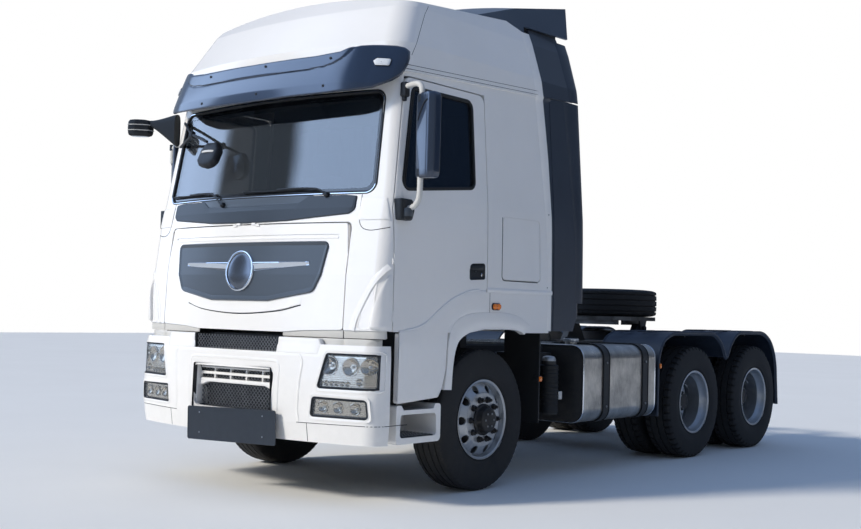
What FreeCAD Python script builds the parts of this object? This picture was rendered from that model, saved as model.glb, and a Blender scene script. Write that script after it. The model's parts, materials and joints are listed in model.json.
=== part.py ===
import FreeCAD, Part
import math
import os

os.makedirs("parts", exist_ok=True)
V = FreeCAD.Vector

# Driving dimensions in mm. Everything is drawn from the front axle's centre line on the
# ground (y = 0, front towards -y, the driver's side towards +x) and moved at export so that
# the row's origin lies at mid length.
overall_length = 7000.0
front_overhang = 1480.0
wheelbase = 3300.0
bogie_spacing = 1350.0
overall_height = 3990.0
body_width = 2500.0
tyre_radius = 530.0
tyre_width = 300.0
rim_seat_radius = 286.0
front_track_half = 1025.0
twin_outer_x = 1102.0
twin_spacing = 345.0
kingpin_x = 900.0
kingpin_radius = 25.0
spindle_radius = 50.0
spindle_play = 0.5
hub_bore_end = 1040.0
brake_radius = 205.0
steer_arm_reach = 190.0
tie_rod_z = 402.0
frame_half_width = 430.0
rail_height = 300.0
rail_top = 1050.0
rail_flange = 80.0
rail_wall = 9.0
front_crown = 4600.0
cab_wall = 42.0
lid_hinge_y = -1370.0
lid_hinge_z = 1922.0
barrel_radius = 3.6
cab_corner = 110.0
cab_rear = 772.0
cab_low = 1180.0
floor_top = 1400.0
tilt_pivot_y = -1360.0
tilt_pivot_z = 940.0
pivot_pin_radius = 16.0
door_front = -1150.0
door_rear = -105.0
door_top = 2946.0
shut_gap = 9.0
door_axis_y = door_front - shut_gap / 2
door_hinges = (1250.0, 1640.0)
lid_top = 1918.0
lid_low = 1160.0
lid_half = 950.0
bumper_low = 420.0
bumper_top = 1085.0
bumper_rear = -1160.0
bumper_wall = 32.0
skirt_front = -1090.0
step_rear = -610.0
tank_front = 1290.0
tank_rear = 2500.0
coupling_y = 3680.0
coupling_top = 1330.0
hitch_spacing_x = 160.0
hitch_spacing_z = 100.0
hitch_hole_radius = 10.5

half_width = body_width / 2
drive1_y = wheelbase
drive2_y = wheelbase + bogie_spacing
front_y = -front_overhang
rear_y = overall_length - front_overhang
row_shift = -overall_length / 2 + front_overhang


def box(x0, x1, y0, y1, z0, z1):
    return Part.makeBox(x1 - x0, y1 - y0, z1 - z0, V(x0, y0, z0))


def drum(axis, centre, radius, start, end):
    origin = V(*centre)
    origin = origin + axis * start
    return Part.makeCylinder(radius, end - start, origin, axis)


def pipe(axis, centre, outer, inner, start, end):
    return drum(axis, centre, outer, start, end).cut(drum(axis, centre, inner, start - 5, end + 5))


ax = V(1, 0, 0)
ay = V(0, 1, 0)
az = V(0, 0, 1)


def bar(start, end, radius):
    """Round bar between two points."""
    way = V(*end) - V(*start)
    return Part.makeCylinder(radius, way.Length, V(*start), way)


def fused(shapes):
    result = shapes[0]
    for other in shapes[1:]:
        result = result.fuse(other)
    return result.removeSplitter()


def both(shape):
    return [shape, shape.mirror(V(0, 0, 0), ax)]


def rounded(points, radii):
    """Corners of a closed outline with a fillet radius each, as lines and arcs."""
    count = len(points)
    edges = []
    marks = []
    for i in range(count):
        here = points[i]
        before = points[i - 1]
        after = points[(i + 1) % count]
        radius = radii[i]
        to_before = (before - here).normalize()
        to_after = (after - here).normalize()
        if radius <= 0:
            marks.append((here, None, here))
            continue
        angle = to_before.getAngle(to_after)
        reach = radius / math.tan(angle / 2)
        start = here + to_before * reach
        end = here + to_after * reach
        middle = (to_before + to_after).normalize()
        centre = here + middle * (radius / math.sin(angle / 2))
        marks.append((start, centre - middle * radius, end))
    for i in range(count):
        start, middle, end = marks[i]
        following = marks[(i + 1) % count][0]
        if middle is not None:
            edges.append(Part.Arc(start, middle, end).toShape())
        if (following - end).Length > 0.01:
            edges.append(Part.makeLine(end, following))
    return Part.Wire(edges)


def along_x(points, x0, x1, radius=0.0):
    radii = radius if isinstance(radius, list) else [radius] * len(points)
    wire = rounded([V(x0, y, z) for y, z in points], radii)
    return Part.Face(wire).extrude(V(x1 - x0, 0, 0))


def along_y(points, y0, y1, radius=0.0):
    radii = radius if isinstance(radius, list) else [radius] * len(points)
    wire = rounded([V(x, y0, z) for x, z in points], radii)
    return Part.Face(wire).extrude(V(0, y1 - y0, 0))


def along_z(points, z0, z1, radius=0.0):
    radii = radius if isinstance(radius, list) else [radius] * len(points)
    wire = rounded([V(x, y, z0) for x, y in points], radii)
    return Part.Face(wire).extrude(V(0, 0, z1 - z0))


def mirrored_outline(points):
    return points + [(-x, other) for x, other in reversed(points)]


def spun(profile, centre, axis=None):
    """Profile of (along the axis, radius) pairs spun about the x axis through the centre."""
    axis = axis or ax
    side = az if axis.x else ax
    points = [V(*centre) + axis * a + side * r for a, r in profile]
    points.append(points[0])
    return Part.Face(Part.makePolygon(points)).revolve(V(*centre), axis, 360)


def plan_wire(half, front, rear, corner, rear_corner, z):
    """Plan of the cab at one height: crowned front, round corners, straight sides and back."""
    lean = 0.2
    for _ in range(6):
        start_x = half - corner + corner * math.sin(lean)
        lean = math.asin(start_x / front_crown)
    start_y = front + front_crown - math.sqrt(front_crown ** 2 - start_x ** 2)
    side_y = start_y + corner * math.cos(lean)
    bend = (-math.pi / 2 + lean) / 2
    bend_x = half - corner + corner * math.cos(bend)
    bend_y = side_y + corner * math.sin(bend)
    back_x = half - rear_corner
    back_y = rear - rear_corner
    turn = rear_corner * math.sqrt(0.5)

    def at(x, y):
        return V(x, y, z)
    edges = [
        Part.Arc(at(-start_x, start_y), at(0, front), at(start_x, start_y)).toShape(),
        Part.Arc(at(start_x, start_y), at(bend_x, bend_y), at(half, side_y)).toShape(),
        Part.makeLine(at(half, side_y), at(half, back_y)),
        Part.Arc(at(half, back_y), at(back_x + turn, back_y + turn), at(back_x, rear)).toShape(),
        Part.makeLine(at(back_x, rear), at(-back_x, rear)),
        Part.Arc(at(-back_x, rear), at(-back_x - turn, back_y + turn), at(-half, back_y)).toShape(),
        Part.makeLine(at(-half, back_y), at(-half, side_y)),
        Part.Arc(at(-half, side_y), at(-bend_x, bend_y), at(-start_x, start_y)).toShape(),
    ]
    return Part.Wire(edges)


def cab_solid(inset, rear_extra=0.0):
    corner = cab_corner - inset
    rear_corner = 60.0 - inset if inset < 50 else 10.0
    levels = [
        (1150.0, half_width, -1430.0, cab_rear),
        (1560.0, half_width, -1412.0, cab_rear - 4),
        (1930.0, half_width - 5, -1364.0, cab_rear - 24),
        (2110.0, half_width - 10, -1326.0, cab_rear - 38),
        (3110.0, half_width - 84, -1146.0, cab_rear - 130),
    ]
    wires = []
    for z, half, front, rear in levels:
        back = rear - inset + rear_extra
        wires.append(plan_wire(half - inset, front + inset, back, corner, rear_corner, z))
    return Part.makeLoft(wires, True, True)


def roof_solid(inset, rear_extra=0.0):
    levels = [
        (2950.0, 1196.0, -1236.0, 652.0),
        (3200.0, 1160.0, -1190.0, 640.0),
        (3500.0, 1072.0, -990.0, 620.0),
        (3660.0, 1010.0, -838.0, 610.0),
        (3860.0, 930.0, -640.0, 600.0),
    ]
    wires = []
    for z, half, front, rear in levels:
        back = rear - inset + rear_extra
        wires.append(plan_wire(half - inset, front + inset, back, 170.0 - inset, 60.0 - inset, z))
    body = Part.makeLoft(wires, True, True)
    cuts = []
    for y, apex in ((-1400.0, 3585.0), (1500.0, 3830.0)):
        drop = 128.0
        low = V(-1200, y, apex - drop - inset)
        high = V(1200, y, apex - drop - inset)
        arc = Part.Arc(low, V(0, y, apex - inset), high).toShape()
        sides = [
            Part.makeLine(high, V(1200, y, 4400)),
            Part.makeLine(V(1200, y, 4400), V(-1200, y, 4400)),
            Part.makeLine(V(-1200, y, 4400), low),
        ]
        cuts.append(Part.Wire([arc] + sides))
    return body.cut(Part.makeLoft(cuts, True, True))


def above_seam(drop):
    """Everything above the sloping joint between cab and roof."""
    def level(y):
        return 2985.0 + 0.047 * (y + 980.0) + drop
    return along_x([(-1900, level(-1900)), (1500, level(1500)), (1500, 4500), (-1900, 4500)],
                   -1400, 1400)


def export(name, shapes):
    shapes = shapes if isinstance(shapes, list) else [shapes]
    whole = shapes[0] if len(shapes) == 1 else Part.makeCompound(shapes)
    whole = whole.copy()
    whole.translate(V(0, row_shift, 0))
    whole.exportStep("parts/" + name + ".step")


def rail():
    low = rail_top - rail_height
    inner = frame_half_width - rail_flange
    outer = box(inner, frame_half_width, -1200, rear_y, low, rail_top)
    room = box(inner - 5, frame_half_width - rail_wall, -1210, rear_y + 10, low + rail_wall,
               rail_top - rail_wall)
    nose = along_x([(-1210, low - 1), (-1000, low - 1), (-1210, low + 90)], inner - 5,
                   frame_half_width + 5)
    tail = along_x([(rear_y + 10, low - 1), (rear_y - 420, low - 1), (rear_y + 10, low + 110)],
                   inner - 5, frame_half_width + 5)
    return outer.cut(room).cut(nose).cut(tail)


def crossmembers():
    inside = frame_half_width - rail_wall
    low = rail_top - rail_height + rail_wall
    high = rail_top - rail_wall
    pieces = []
    for y in (1450.0, 2150.0, 2900.0, drive1_y + bogie_spacing / 2, 5000.0):
        web = box(-inside, inside, y, y + 12, low + 20, high - 20)
        hole = drum(ay, (0, y, (low + high) / 2), 70, -10, 30)
        lips = box(-inside, inside, y - 60, y, high - 30, high - 20)
        foot = box(-inside, inside, y - 60, y, low + 20, low + 30)
        pieces.append(fused([web.cut(hole), lips, foot]))
    pieces.append(pipe(ax, (0, -1144, 900), 50, 40, -inside, inside))
    return pieces


def hitch_plate():
    inside = frame_half_width - rail_wall
    plate = box(-inside, inside, rear_y - 14, rear_y, 880, rail_top - rail_wall)
    centre_z = 960.0
    for sx in (-1, 1):
        for sz in (-1, 1):
            at = (sx * hitch_spacing_x / 2, rear_y, centre_z + sz * hitch_spacing_z / 2)
            plate = plate.cut(drum(ay, at, hitch_hole_radius, -30, 10))
    bore = drum(ay, (0, rear_y, centre_z), 28, -30, 10)
    return plate.cut(bore)


def deck():
    top = box(-frame_half_width, frame_half_width, 1330, 2250, rail_top, rail_top + 24)
    for y in (1480.0, 1740.0, 2000.0):
        for x in (-210.0, 210.0):
            slot = along_z([(x - 130, y), (x + 130, y), (x + 130, y + 120), (x - 130, y + 120)],
                           rail_top - 5, rail_top + 30, 30)
            top = top.cut(slot)
    return top


def pivot_bracket():
    """Chassis side of the cab's tilt hinge, a foot on the rail end and two cheeks."""
    y, z = tilt_pivot_y, tilt_pivot_z
    foot = box(frame_half_width, 635, -1240, -1120, 780, 885)
    rise = box(frame_half_width, 500, -1240, -1120, 780, 990)
    arm = along_x([(-1160, 800), (-1290, 810), (y + 26, z - 60), (y - 24, z - 40),
                   (y - 34, z + 16), (y + 10, z + 40), (-1160, 960)], 505, 530, [0, 20, 16, 16, 16, 16, 0])
    other = arm.copy()
    other.translate(V(105, 0, 0))
    pin = drum(ax, (0, y, z), pivot_pin_radius, 505, 635)
    return fused([foot, rise, arm, other, pin])


def cab_rest():
    """Rear rest of the cab: a portal over the frame with a rubber block each side."""
    post = box(frame_half_width, 500, 560, 640, 800, 1225)
    block = drum(az, (465, 600, 0), 34, 1225, 1262)
    return [post.fuse(block).removeSplitter()]


def bumper_solid(inset):
    levels = [
        (bumper_low - 10, half_width - 12, front_y + 26),
        (545.0, half_width, front_y + 6),
        (740.0, half_width, front_y),
        (1000.0, half_width, front_y + 6),
        (bumper_top + 10, half_width - 6, front_y + 24),
    ]
    wires = [plan_wire(half - inset, front + inset, 0.0, 130 - inset, 50, z)
             for z, half, front in levels]
    return Part.makeLoft(wires, True, True)


bumper_outer = bumper_solid(0)
bumper_inner = bumper_solid(bumper_wall)
lamp_outline = [(800.0, 792.0), (1300.0, 792.0), (1300.0, 1026.0), (868.0, 1026.0)]
fog_outline = [(752.0, 598.0), (1190.0, 598.0), (1180.0, 722.0), (770.0, 728.0)]


def grown(points, by):
    cx = sum(p[0] for p in points) / len(points)
    cz = sum(p[1] for p in points) / len(points)
    out = []
    for x, z in points:
        out.append((x + (by if x > cx else -by), z + (by if z > cz else -by)))
    return out


def front_bumper():
    body = bumper_outer.cut(bumper_inner)
    body = body.cut(box(-1400, 1400, bumper_rear, 400, 300, 1300))
    body = body.cut(box(-1400, 1400, -1600, 400, 300, bumper_low))
    body = body.cut(box(-1400, 1400, -1600, 400, bumper_top, 1300))
    dip = mirrored_outline([(0.0, 1020.0), (600.0, 1020.0), (790.0, bumper_top + 2),
                            (790.0, 1300.0)])[:]
    dip = [(600.0, 1020.0), (800.0, bumper_top + 1), (800.0, 1300.0), (-800.0, 1300.0),
           (-800.0, bumper_top + 1), (-600.0, 1020.0)]
    body = body.cut(along_y(dip, -1600, -1000))
    intake = [(-405.0, 600.0), (405.0, 600.0), (430.0, 895.0), (-430.0, 895.0)]
    body = body.cut(along_y(intake, -1600, -1200, 40))
    for outline in (lamp_outline, fog_outline):
        for cutter in both(along_y(outline, -1600, -1185, 22)):
            body = body.cut(cutter)
    shelf = bumper_inner.common(box(-495, 495, -1460, -1262, 1004, 1020))
    ledge = bumper_inner.common(box(645, 790, -1460, -1262, 1004, 1020))
    wings = bumper_inner.common(box(700, 1300, -1500, -1190, 1062, 1078))
    tops = [shelf] + both(ledge) + both(wings)
    return fused([body] + tops)


def bumper_grilles():
    frame = along_y([(-430, 572), (430, 572), (455, 922), (-455, 922)], -1310, -1300, 30)
    frame = frame.cut(along_y([(-380, 640), (380, 640), (395, 860), (-395, 860)], -1320, -1290, 25))
    mesh = along_y([(-382, 638), (382, 638), (397, 862), (-397, 862)], -1300, -1294, 20)
    funnel = along_y([(-424, 582), (424, 582), (449, 914), (-449, 914)], -1480, -1310, 40)
    funnel = funnel.cut(along_y([(-414, 592), (414, 592), (439, 904), (-439, 904)], -1500, -1300, 34))
    funnel = funnel.common(bumper_inner)
    bars = []
    for z in (716.0, 788.0, 860.0):
        bars.append(box(-426, 426, -1404, -1372, z - 11, z + 11))
    for x in (-270.0, -90.0, 90.0, 270.0):
        bars.append(box(x - 9, x + 9, -1400, -1376, 716, 871))
    rack = fused(bars).cut(along_y([(-700, 400), (700, 400), (700, 1000), (-700, 1000)], -1500, -1200)
                           .cut(along_y([(-415, 592), (415, 592), (438, 904), (-438, 904)], -1500, -1200)))
    upper = box(-430, 430, -1276, -1268, 1020, 1132)
    cheeks = [box(-446, -430, -1300, -1262, 1020, 1132), box(430, 446, -1300, -1262, 1020, 1132)]
    whole = fused([frame, mesh, funnel, rack])
    return [whole, fused([upper] + cheeks)]


def lamp_parts():
    houses = []
    lenses = []
    shell = bumper_solid(3).cut(bumper_solid(8))
    room = bumper_solid(46)
    cave = bumper_solid(70)
    for outline in (lamp_outline, fog_outline):
        window = along_y(outline, -1600, -1185, 22)
        lens = shell.common(window)
        back = room.common(along_y(grown(outline, 8.0), -1600, -1190, 20)).cut(cave)
        rim = bumper_inner.common(along_y(grown(outline, 10.0), -1600, -1190, 22)).cut(cave)
        rim = rim.cut(along_y(grown(outline, -1.0), -1600, -1100, 18))
        lens = lens.common(box(0, 1300, -1700, -1185, 300, 1200))
        house = fused([back, rim]).common(box(0, 1300, -1700, -1180, 300, 1200))
        lenses += both(lens)
        houses += both(house)
    return houses, lenses


def lower_step():
    low, high = bumper_low, 684.0
    outline = [(skirt_front + 4, low), (step_rear, low), (step_rear, high), (-672, high),
               (-690, 650), (-1010, 650), (-1034, high), (skirt_front + 4, high)]
    body = along_x(outline, 900, half_width - 4, [26, 34, 24, 8, 12, 12, 8, 16])
    room = along_x([(-1046, 462), (-655, 462), (-662, 620), (-1040, 620)], 950, 1400, 26)
    arm = box(frame_half_width, 900, -920, -860, 560, 620)
    post = box(frame_half_width, 470, -940, -840, 560, 820)
    return fused([body.cut(room), arm, post])


def powertrain():
    engine = along_y([(-330, 700), (-210, 560), (210, 560), (330, 700), (330, 1180), (250, 1290),
                      (-250, 1290), (-330, 1180)], -880, 380, 20)
    bell = along_y([(-290, 620), (290, 620), (290, 1050), (-290, 1050)], 380, 520, 60)
    gear = along_y([(-220, 640), (220, 640), (220, 1010), (-220, 1010)], 520, 1180, 50)
    shaft = drum(ay, (0, 0, 690), 48, 1180, 2960)
    nose = along_x([(2960, 640), (3150, 560), (3150, 690), (2960, 740)], -60, 60)
    between = drum(ay, (0, 0, 640), 48, drive1_y + 200, drive2_y - 200)
    cooler = box(-340, 340, -1080, -960, 640, 1210)
    link = box(-120, 120, -960, -880, 700, 900)
    mounts = []
    for y in (-700.0, 200.0):
        mounts.append(box(-350, 350, y, y + 90, 800, 880))
    tail = box(-350, 350, 1000, 1060, 820, 880)
    block = fused([engine, bell, gear, cooler, link] + mounts + [tail, shaft, nose])
    front_housing = drive_axle(drive1_y)
    return block.cut(front_housing), between.cut(front_housing).cut(drive_axle(drive2_y))


def front_axle():
    beam = along_y([(-850, 468), (-760, 468), (-640, 388), (640, 388), (760, 468), (850, 468),
                    (850, 560), (730, 560), (610, 480), (-610, 480), (-730, 560), (-850, 560)],
                   -52, 52, 16)
    parts = [beam]
    for side in (-1, 1):
        parts.append(drum(az, (side * kingpin_x, 0, 0), 56, 462, 566))
        parts.append(box(min(side * 560, side * 300), max(side * 560, side * 300), -80, 80, 480, 500))
    body = fused(parts)
    for side in (-1, 1):
        body = body.cut(drum(az, (side * kingpin_x, 0, 0), kingpin_radius + 0.4, 400, 700))
    return body


def drive_axle(y):
    half = [(-hub_bore_end, 0), (-hub_bore_end, spindle_radius), (-900, spindle_radius), (-900, 72),
            (-300, 72), (-190, 130), (-140, 205), (-60, 235), (60, 235), (140, 205), (190, 130),
            (300, 72), (900, 72), (900, spindle_radius), (hub_bore_end, spindle_radius),
            (hub_bore_end, 0)]
    tube = spun(half, (0, y, tyre_radius))
    seats = [box(s * 515 - 60, s * 515 + 60, y - 75, y + 75, tyre_radius + 40, 640) for s in (-1, 1)]
    return fused([tube] + seats)


def front_spring(x):
    leaves = []
    for i, reach in enumerate((780.0, 640.0, 500.0)):
        z = 500.0 + i * 0.0
        base = 500.0 + 16.0 * (2 - i)
        leaves.append(along_x([(-reach, base + 60), (0, base), (reach, base + 60),
                               (reach, base + 75), (0, base + 15), (-reach, base + 75)],
                              x - 40, x + 40))
    hanger_front = box(x - 30, x + 40, -800, -740, 560, rail_top - rail_height)
    hanger_rear = box(x - 30, x + 40, 740, 800, 560, rail_top - rail_height)
    saddle = box(x - 48, x + 48, -70, 70, 532, 560)
    return fused(leaves + [hanger_front, hanger_rear, saddle])


def bogie_spring(side):
    x = side * 515.0
    middle = (drive1_y + drive2_y) / 2
    leaves = []
    for i, reach in enumerate((700.0, 560.0, 420.0)):
        base = 690.0 + 18.0 * i
        leaves.append(along_x([(middle - reach, base - 50), (middle, base), (middle + reach, base - 50),
                               (middle + reach, base - 32), (middle, base + 18),
                               (middle - reach, base - 32)], x - 45, x + 45))
    inner = side * frame_half_width
    outer = side * 560.0
    hanger = along_x([(middle - 130, 650), (middle + 130, 650), (middle + 190, 980),
                      (middle - 190, 980)], min(inner, side * 470), max(inner, side * 470), 20)
    axle = box(min(inner, outer), max(inner, outer), middle - 60, middle + 60, 600, 700)
    feet = []
    for y in (drive1_y, drive2_y):
        feet.append(box(x - 50, x + 50, y - 60, y + 60, 640, 664))
    return fused(leaves + [hanger, axle] + feet)


def fuel_tank():
    outline = [(640, 432), (1238, 432), (1238, 1078), (640, 1078)]
    body = along_y(outline, tank_front, tank_rear, 115)
    neck = drum(az, (960, tank_front + 230, 0), 52, 1070, 1104)
    cap = drum(az, (960, tank_front + 230, 0), 62, 1104, 1130)
    return fused([body, neck, cap])


def tank_straps():
    parts = []
    for y in (1600.0, 2270.0):
        outer = along_y([(628, 424), (1246, 424), (1246, 1086), (628, 1086)], y, y + 88, 121)
        hole = along_y([(640, 432), (1238, 432), (1238, 1078), (640, 1078)], y - 5, y + 100, 115)
        back = box(frame_half_width, 640, y, y + 88, 640, 1020)
        foot = along_y([(frame_half_width, 424), (700, 424), (640, 640), (frame_half_width, 640)],
                       y, y + 88)
        body = fused([outer, back, foot]).cut(hole)
        parts.append(body)
    return parts


def air_units():
    base = box(frame_half_width, 1000, 820, 1230, 600, 640)
    wall = box(frame_half_width, 460, 820, 1230, 640, 960)
    case = along_z([(640, 860), (960, 860), (960, 1230), (640, 1230)], 640, 1010, 24)
    can = drum(az, (1090, 985, 0), 78, 520, 900)
    cap = drum(az, (1090, 985, 0), 62, 900, 950)
    clamp = box(960, 1100, 960, 1010, 700, 740)
    return fused([base, wall, case, can, cap, clamp])


def right_boxes():
    exhaust = along_y([(-1236, 450), (-640, 450), (-640, 1060), (-1236, 1060)], 860, 1560, 70)
    pipe_out = drum(ay, (-560, 0, 700), 55, 380, 1000)
    elbow = box(-640, -520, 900, 1000, 645, 755)
    brackets = []
    for y in (980.0, 1400.0, 1760.0, 2340.0):
        brackets.append(box(-640, -frame_half_width, y, y + 60, 560, 1000))
    battery = along_y([(-1220, 560), (-640, 560), (-640, 1040), (-1220, 1040)], 1640, 2120, 30)
    tanks = [drum(ay, (-800, 0, 480), 110, 1620, 2440), drum(ay, (-1060, 0, 480), 110, 1620, 2440)]
    crate = along_y([(-1220, 600), (-640, 600), (-640, 1040), (-1220, 1040)], 2150, 2480, 30)
    hooks = [box(-1160, -700, 1700, 1740, 470, 580), box(-1160, -700, 2340, 2380, 470, 620)]
    muffler = fused([exhaust, elbow, pipe_out] + brackets[:2])
    return muffler, fused([battery, crate] + tanks + hooks + brackets[2:])


def guard_path():
    return [(2548, 430), (2562, 960), (2660, 1110), (2850, 1192), (3700, 1192), (3880, 1085),
            (3975, 930), (4070, 1085), (4240, 1205), (4850, 1205), (5060, 1110), (5190, 900),
            (5236, 430)]


def strip(path, thick, x0, x1):
    """A bent sheet of even thickness, laid inside a path in the y-z plane."""
    inner = []
    for i, (y, z) in enumerate(path):
        before = path[max(i - 1, 0)]
        after = path[min(i + 1, len(path) - 1)]
        d1 = V(y - before[0], z - before[1], 0)
        d2 = V(after[0] - y, after[1] - z, 0)
        n = V(0, 0, 0)
        for d in (d1, d2):
            if d.Length > 0:
                d.normalize()
                n = n + V(d.y, -d.x, 0)
        n.normalize()
        keep = V(d1.y, -d1.x, 0) if d1.Length > 0 else V(d2.y, -d2.x, 0)
        scale = thick / max(n.dot(keep.normalize()), 0.5)
        inner.append((y + n.x * scale, z + n.y * scale))
    return along_x(path + inner[::-1], x0, x1)


def rear_mudguard():
    path = guard_path()
    sheet = strip(path, 10, 600, half_width - 6)
    lip = strip(path, 34, half_width - 14, half_width)
    parts = [sheet, lip]
    for y in (drive1_y - 20, drive2_y - 20):
        parts.append(box(460, 1120, y, y + 40, 1150, 1184 if y < 4000 else 1197))
        parts.append(box(frame_half_width, 470, y - 30, y + 70, 1052, 1184 if y < 4000 else 1197))
        parts.append(box(frame_half_width, 450, y - 30, y + 70, 940, 1060))
    return fused(parts)


def tail_lamps():
    case = box(470, 850, rear_y - 96, rear_y - 20, 560, 700)
    arm = box(frame_half_width - 60, 520, rear_y - 90, rear_y - 60, 640, 700)
    post = box(frame_half_width - 60, frame_half_width - rail_wall, rear_y - 90, rear_y - 60, 640, 900)
    return fused([case, arm, post])


def coupling_base():
    y = coupling_y
    plate = box(-470, 470, y - 330, y + 420, rail_top, rail_top + 16)
    parts = [plate]
    for side in (-1, 1):
        x0, x1 = side * 360.0, side * 430.0
        cheek = along_x([(y - 190, rail_top + 16), (y + 190, rail_top + 16), (y + 62, 1262),
                         (y - 62, 1262)], min(x0, x1), max(x0, x1), [0, 0, 40, 40])
        parts.append(cheek)
        x2 = side * 480.0
        parts.append(drum(ax, (0, y, 1215), 22, min(x0, x2) - 0, max(x0, x2)))
    return fused(parts)


def coupling_plate():
    y = coupling_y
    top = coupling_top
    outline = [(-455, y - 250), (-330, y - 400), (330, y - 400), (455, y - 250), (455, y + 260),
               (150, y + 560), (70, y + 560), (30, y + 260), (30, y), (-30, y), (-30, y + 260),
               (-70, y + 560), (-150, y + 560), (-455, y + 260)]
    plate = along_z(outline, top - 40, top, [40, 60, 60, 40, 60, 20, 8, 6, 0, 0, 6, 8, 20, 60])
    eye = drum(az, (0, y, 0), 30, top - 60, top + 10)
    wedge = along_x([(y + 250, top + 5), (y + 620, top + 5), (y + 620, top - 70)], -500, 500)
    skirt = box(-340, 340, y - 330, y - 300, top - 84, top - 40)
    parts = [plate.cut(eye).cut(wedge), skirt]
    for side in (-1, 1):
        x0, x1 = side * 436.0, side * 452.0
        ear = along_x([(y - 70, top - 40), (y + 70, top - 40), (y + 34, 1180), (y - 34, 1180)],
                      min(x0, x1), max(x0, x1), [0, 0, 30, 30])
        hole = drum(ax, (0, y, 1215), 23, -500, 500)
        parts.append(ear.cut(hole))
        ix0, ix1 = side * 336.0, side * 354.0
        rib = box(min(ix0, ix1), max(ix0, ix1), y - 250, y + 230, top - 84, top - 40)
        parts.append(rib)
    return fused(parts)


def tyre(centre, width, axis=None):
    r = tyre_radius
    h = width / 2
    seat = rim_seat_radius
    profile = [(-h * 0.82, seat), (-h * 0.86, seat + 22), (-h * 0.97, seat + 70), (-h, seat + 118),
               (-h * 0.96, r - 62), (-h * 0.9, r - 26), (-h * 0.82, r - 9), (-h * 0.6, r - 3),
               (0, r), (h * 0.6, r - 3), (h * 0.82, r - 9), (h * 0.9, r - 26), (h * 0.96, r - 62),
               (h, seat + 118), (h * 0.97, seat + 70), (h * 0.86, seat + 22), (h * 0.82, seat)]
    return spun(profile, centre, axis)


def rim(centre, width, disc, hub, axis=None, bore=0.0, brake=None, nuts=0):
    """Wheel: barrel with lips, disc at an offset with hand holes, hub up to the offset hub.

    bore is where the blind spindle hole ends and brake the drum's open end, both as offsets.
    """
    h = width / 2 * 0.82
    seat = rim_seat_radius
    axis = axis or ax
    sign = 1 if disc > 0 else -1
    barrel = spun([(-h, seat), (h, seat), (h + 4, seat + 14), (h + 14, seat + 14), (h + 12, seat - 4),
                   (h - 20, seat - 12), (-h + 20, seat - 12), (-h - 12, seat - 4),
                   (-h - 14, seat + 14), (-h - 4, seat + 14)], centre, axis)
    edge = sign * (h - 20)
    web = spun([(edge, seat - 12), (disc - sign * 4, 216), (disc, 190), (disc, 100),
                (disc - sign * 14, 100), (disc - sign * 14, 186), (disc - sign * 20, 208),
                (edge - sign * 16, seat - 12)], centre, axis)
    side = az if axis.x else ax
    middle = V(*centre)
    for i in range(10):
        turn = FreeCAD.Rotation(axis, 18 + 36.0 * i)
        at = middle + turn.multVec(side * 222)
        web = web.cut(Part.makeCylinder(24, 300, at - axis * 150 + axis * disc, axis))
    parts = [barrel, web]
    if hub:
        hole = spindle_radius + spindle_play
        out = 1 if hub > disc else -1
        foot = disc - 26 * out if sign == out else disc
        parts.append(spun([(foot, hole), (foot, 108), (disc + out * 26, 108),
                           (disc + out * 34, 92), (hub - out * 14, 84), (hub, 66), (hub, 0),
                           (bore, 0), (bore, hole)], centre, axis))
    if brake is not None:
        back = disc - (14 if disc > brake else -14)
        wall = brake_radius - 14
        parts.append(spun([(brake, wall), (brake, brake_radius), (back, brake_radius), (back, 100),
                           (back - (12 if disc > brake else -12), 100),
                           (back - (12 if disc > brake else -12), wall)], centre, axis))
    for i in range(10 if nuts else 0):
        turn = FreeCAD.Rotation(axis, 36.0 * i)
        at = middle + turn.multVec(side * 152)
        start = at + axis * (disc if nuts == sign else disc - sign * 14)
        parts.append(Part.makeCylinder(15, 28, start, axis * nuts))
    return fused(parts)


def knuckle(side):
    x = side * kingpin_x
    z = tyre_radius
    lugs = [drum(az, (x, 0, 0), 50, 405, 461), drum(az, (x, 0, 0), 50, 567, 622)]
    plate = box(min(x + side * 30, x + side * 78), max(x + side * 30, x + side * 78), -62, 62, 405, 622)
    eye = box(min(x, x + side * 78), max(x, x + side * 78), -50, 50, 405, 461)
    cap = box(min(x, x + side * 78), max(x, x + side * 78), -50, 50, 567, 622)
    room = drum(az, (x, 0, 0), 66, 461, 567)
    body = fused([plate, eye, cap] + lugs).cut(room)
    body = body.fuse(drum(az, (x, 0, 0), kingpin_radius, 461, 567))
    stub = drum(ax, (0, 0, z), spindle_radius, min(side * 976, side * 1180),
                max(side * 976, side * 1180))
    y = steer_arm_reach
    arm = along_z([(x - 26, -30), (x + 26, -30), (x + 26, y), (x - 26, y)], 421, 450)
    ball = drum(az, (x, y, 0), 26, 421, 450)
    drum_plate = pipe(ax, (0, 0, z), 184, 40, min(side * 968, side * 980), max(side * 968, side * 980))
    pin = drum(az, (x, y, 0), 11, tie_rod_z - 22, 430)
    return fused([body, stub, arm, ball, drum_plate, pin])


def tie_rod():
    y = steer_arm_reach
    body = drum(ax, (0, y, tie_rod_z), 16, -kingpin_x, kingpin_x)
    for side in (-1, 1):
        end = drum(az, (side * kingpin_x, y, 0), 24, tie_rod_z - 17, tie_rod_z + 13)
        body = body.fuse(end)
    body = body.removeSplitter()
    for side in (-1, 1):
        body = body.cut(drum(az, (side * kingpin_x, y, 0), 11.5, 300, 500))
    return body


def door_outline(by):
    """Closed outline of the left door in the y-z plane, grown outwards by a gap."""
    return [(door_front - by, 1182 - by), (-960 + by * 0.3, 1182 - by), (-800 + by * 0.6, 1228 - by),
            (-640 + by * 0.6, 1330 - by), (-470 + by * 0.5, 1430 - by), (-300, 1474 - by),
            (door_rear + by, 1490 - by), (door_rear + by, door_top + by), (-990 - by, door_top + by),
            (door_front - by, 2010)]


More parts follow.
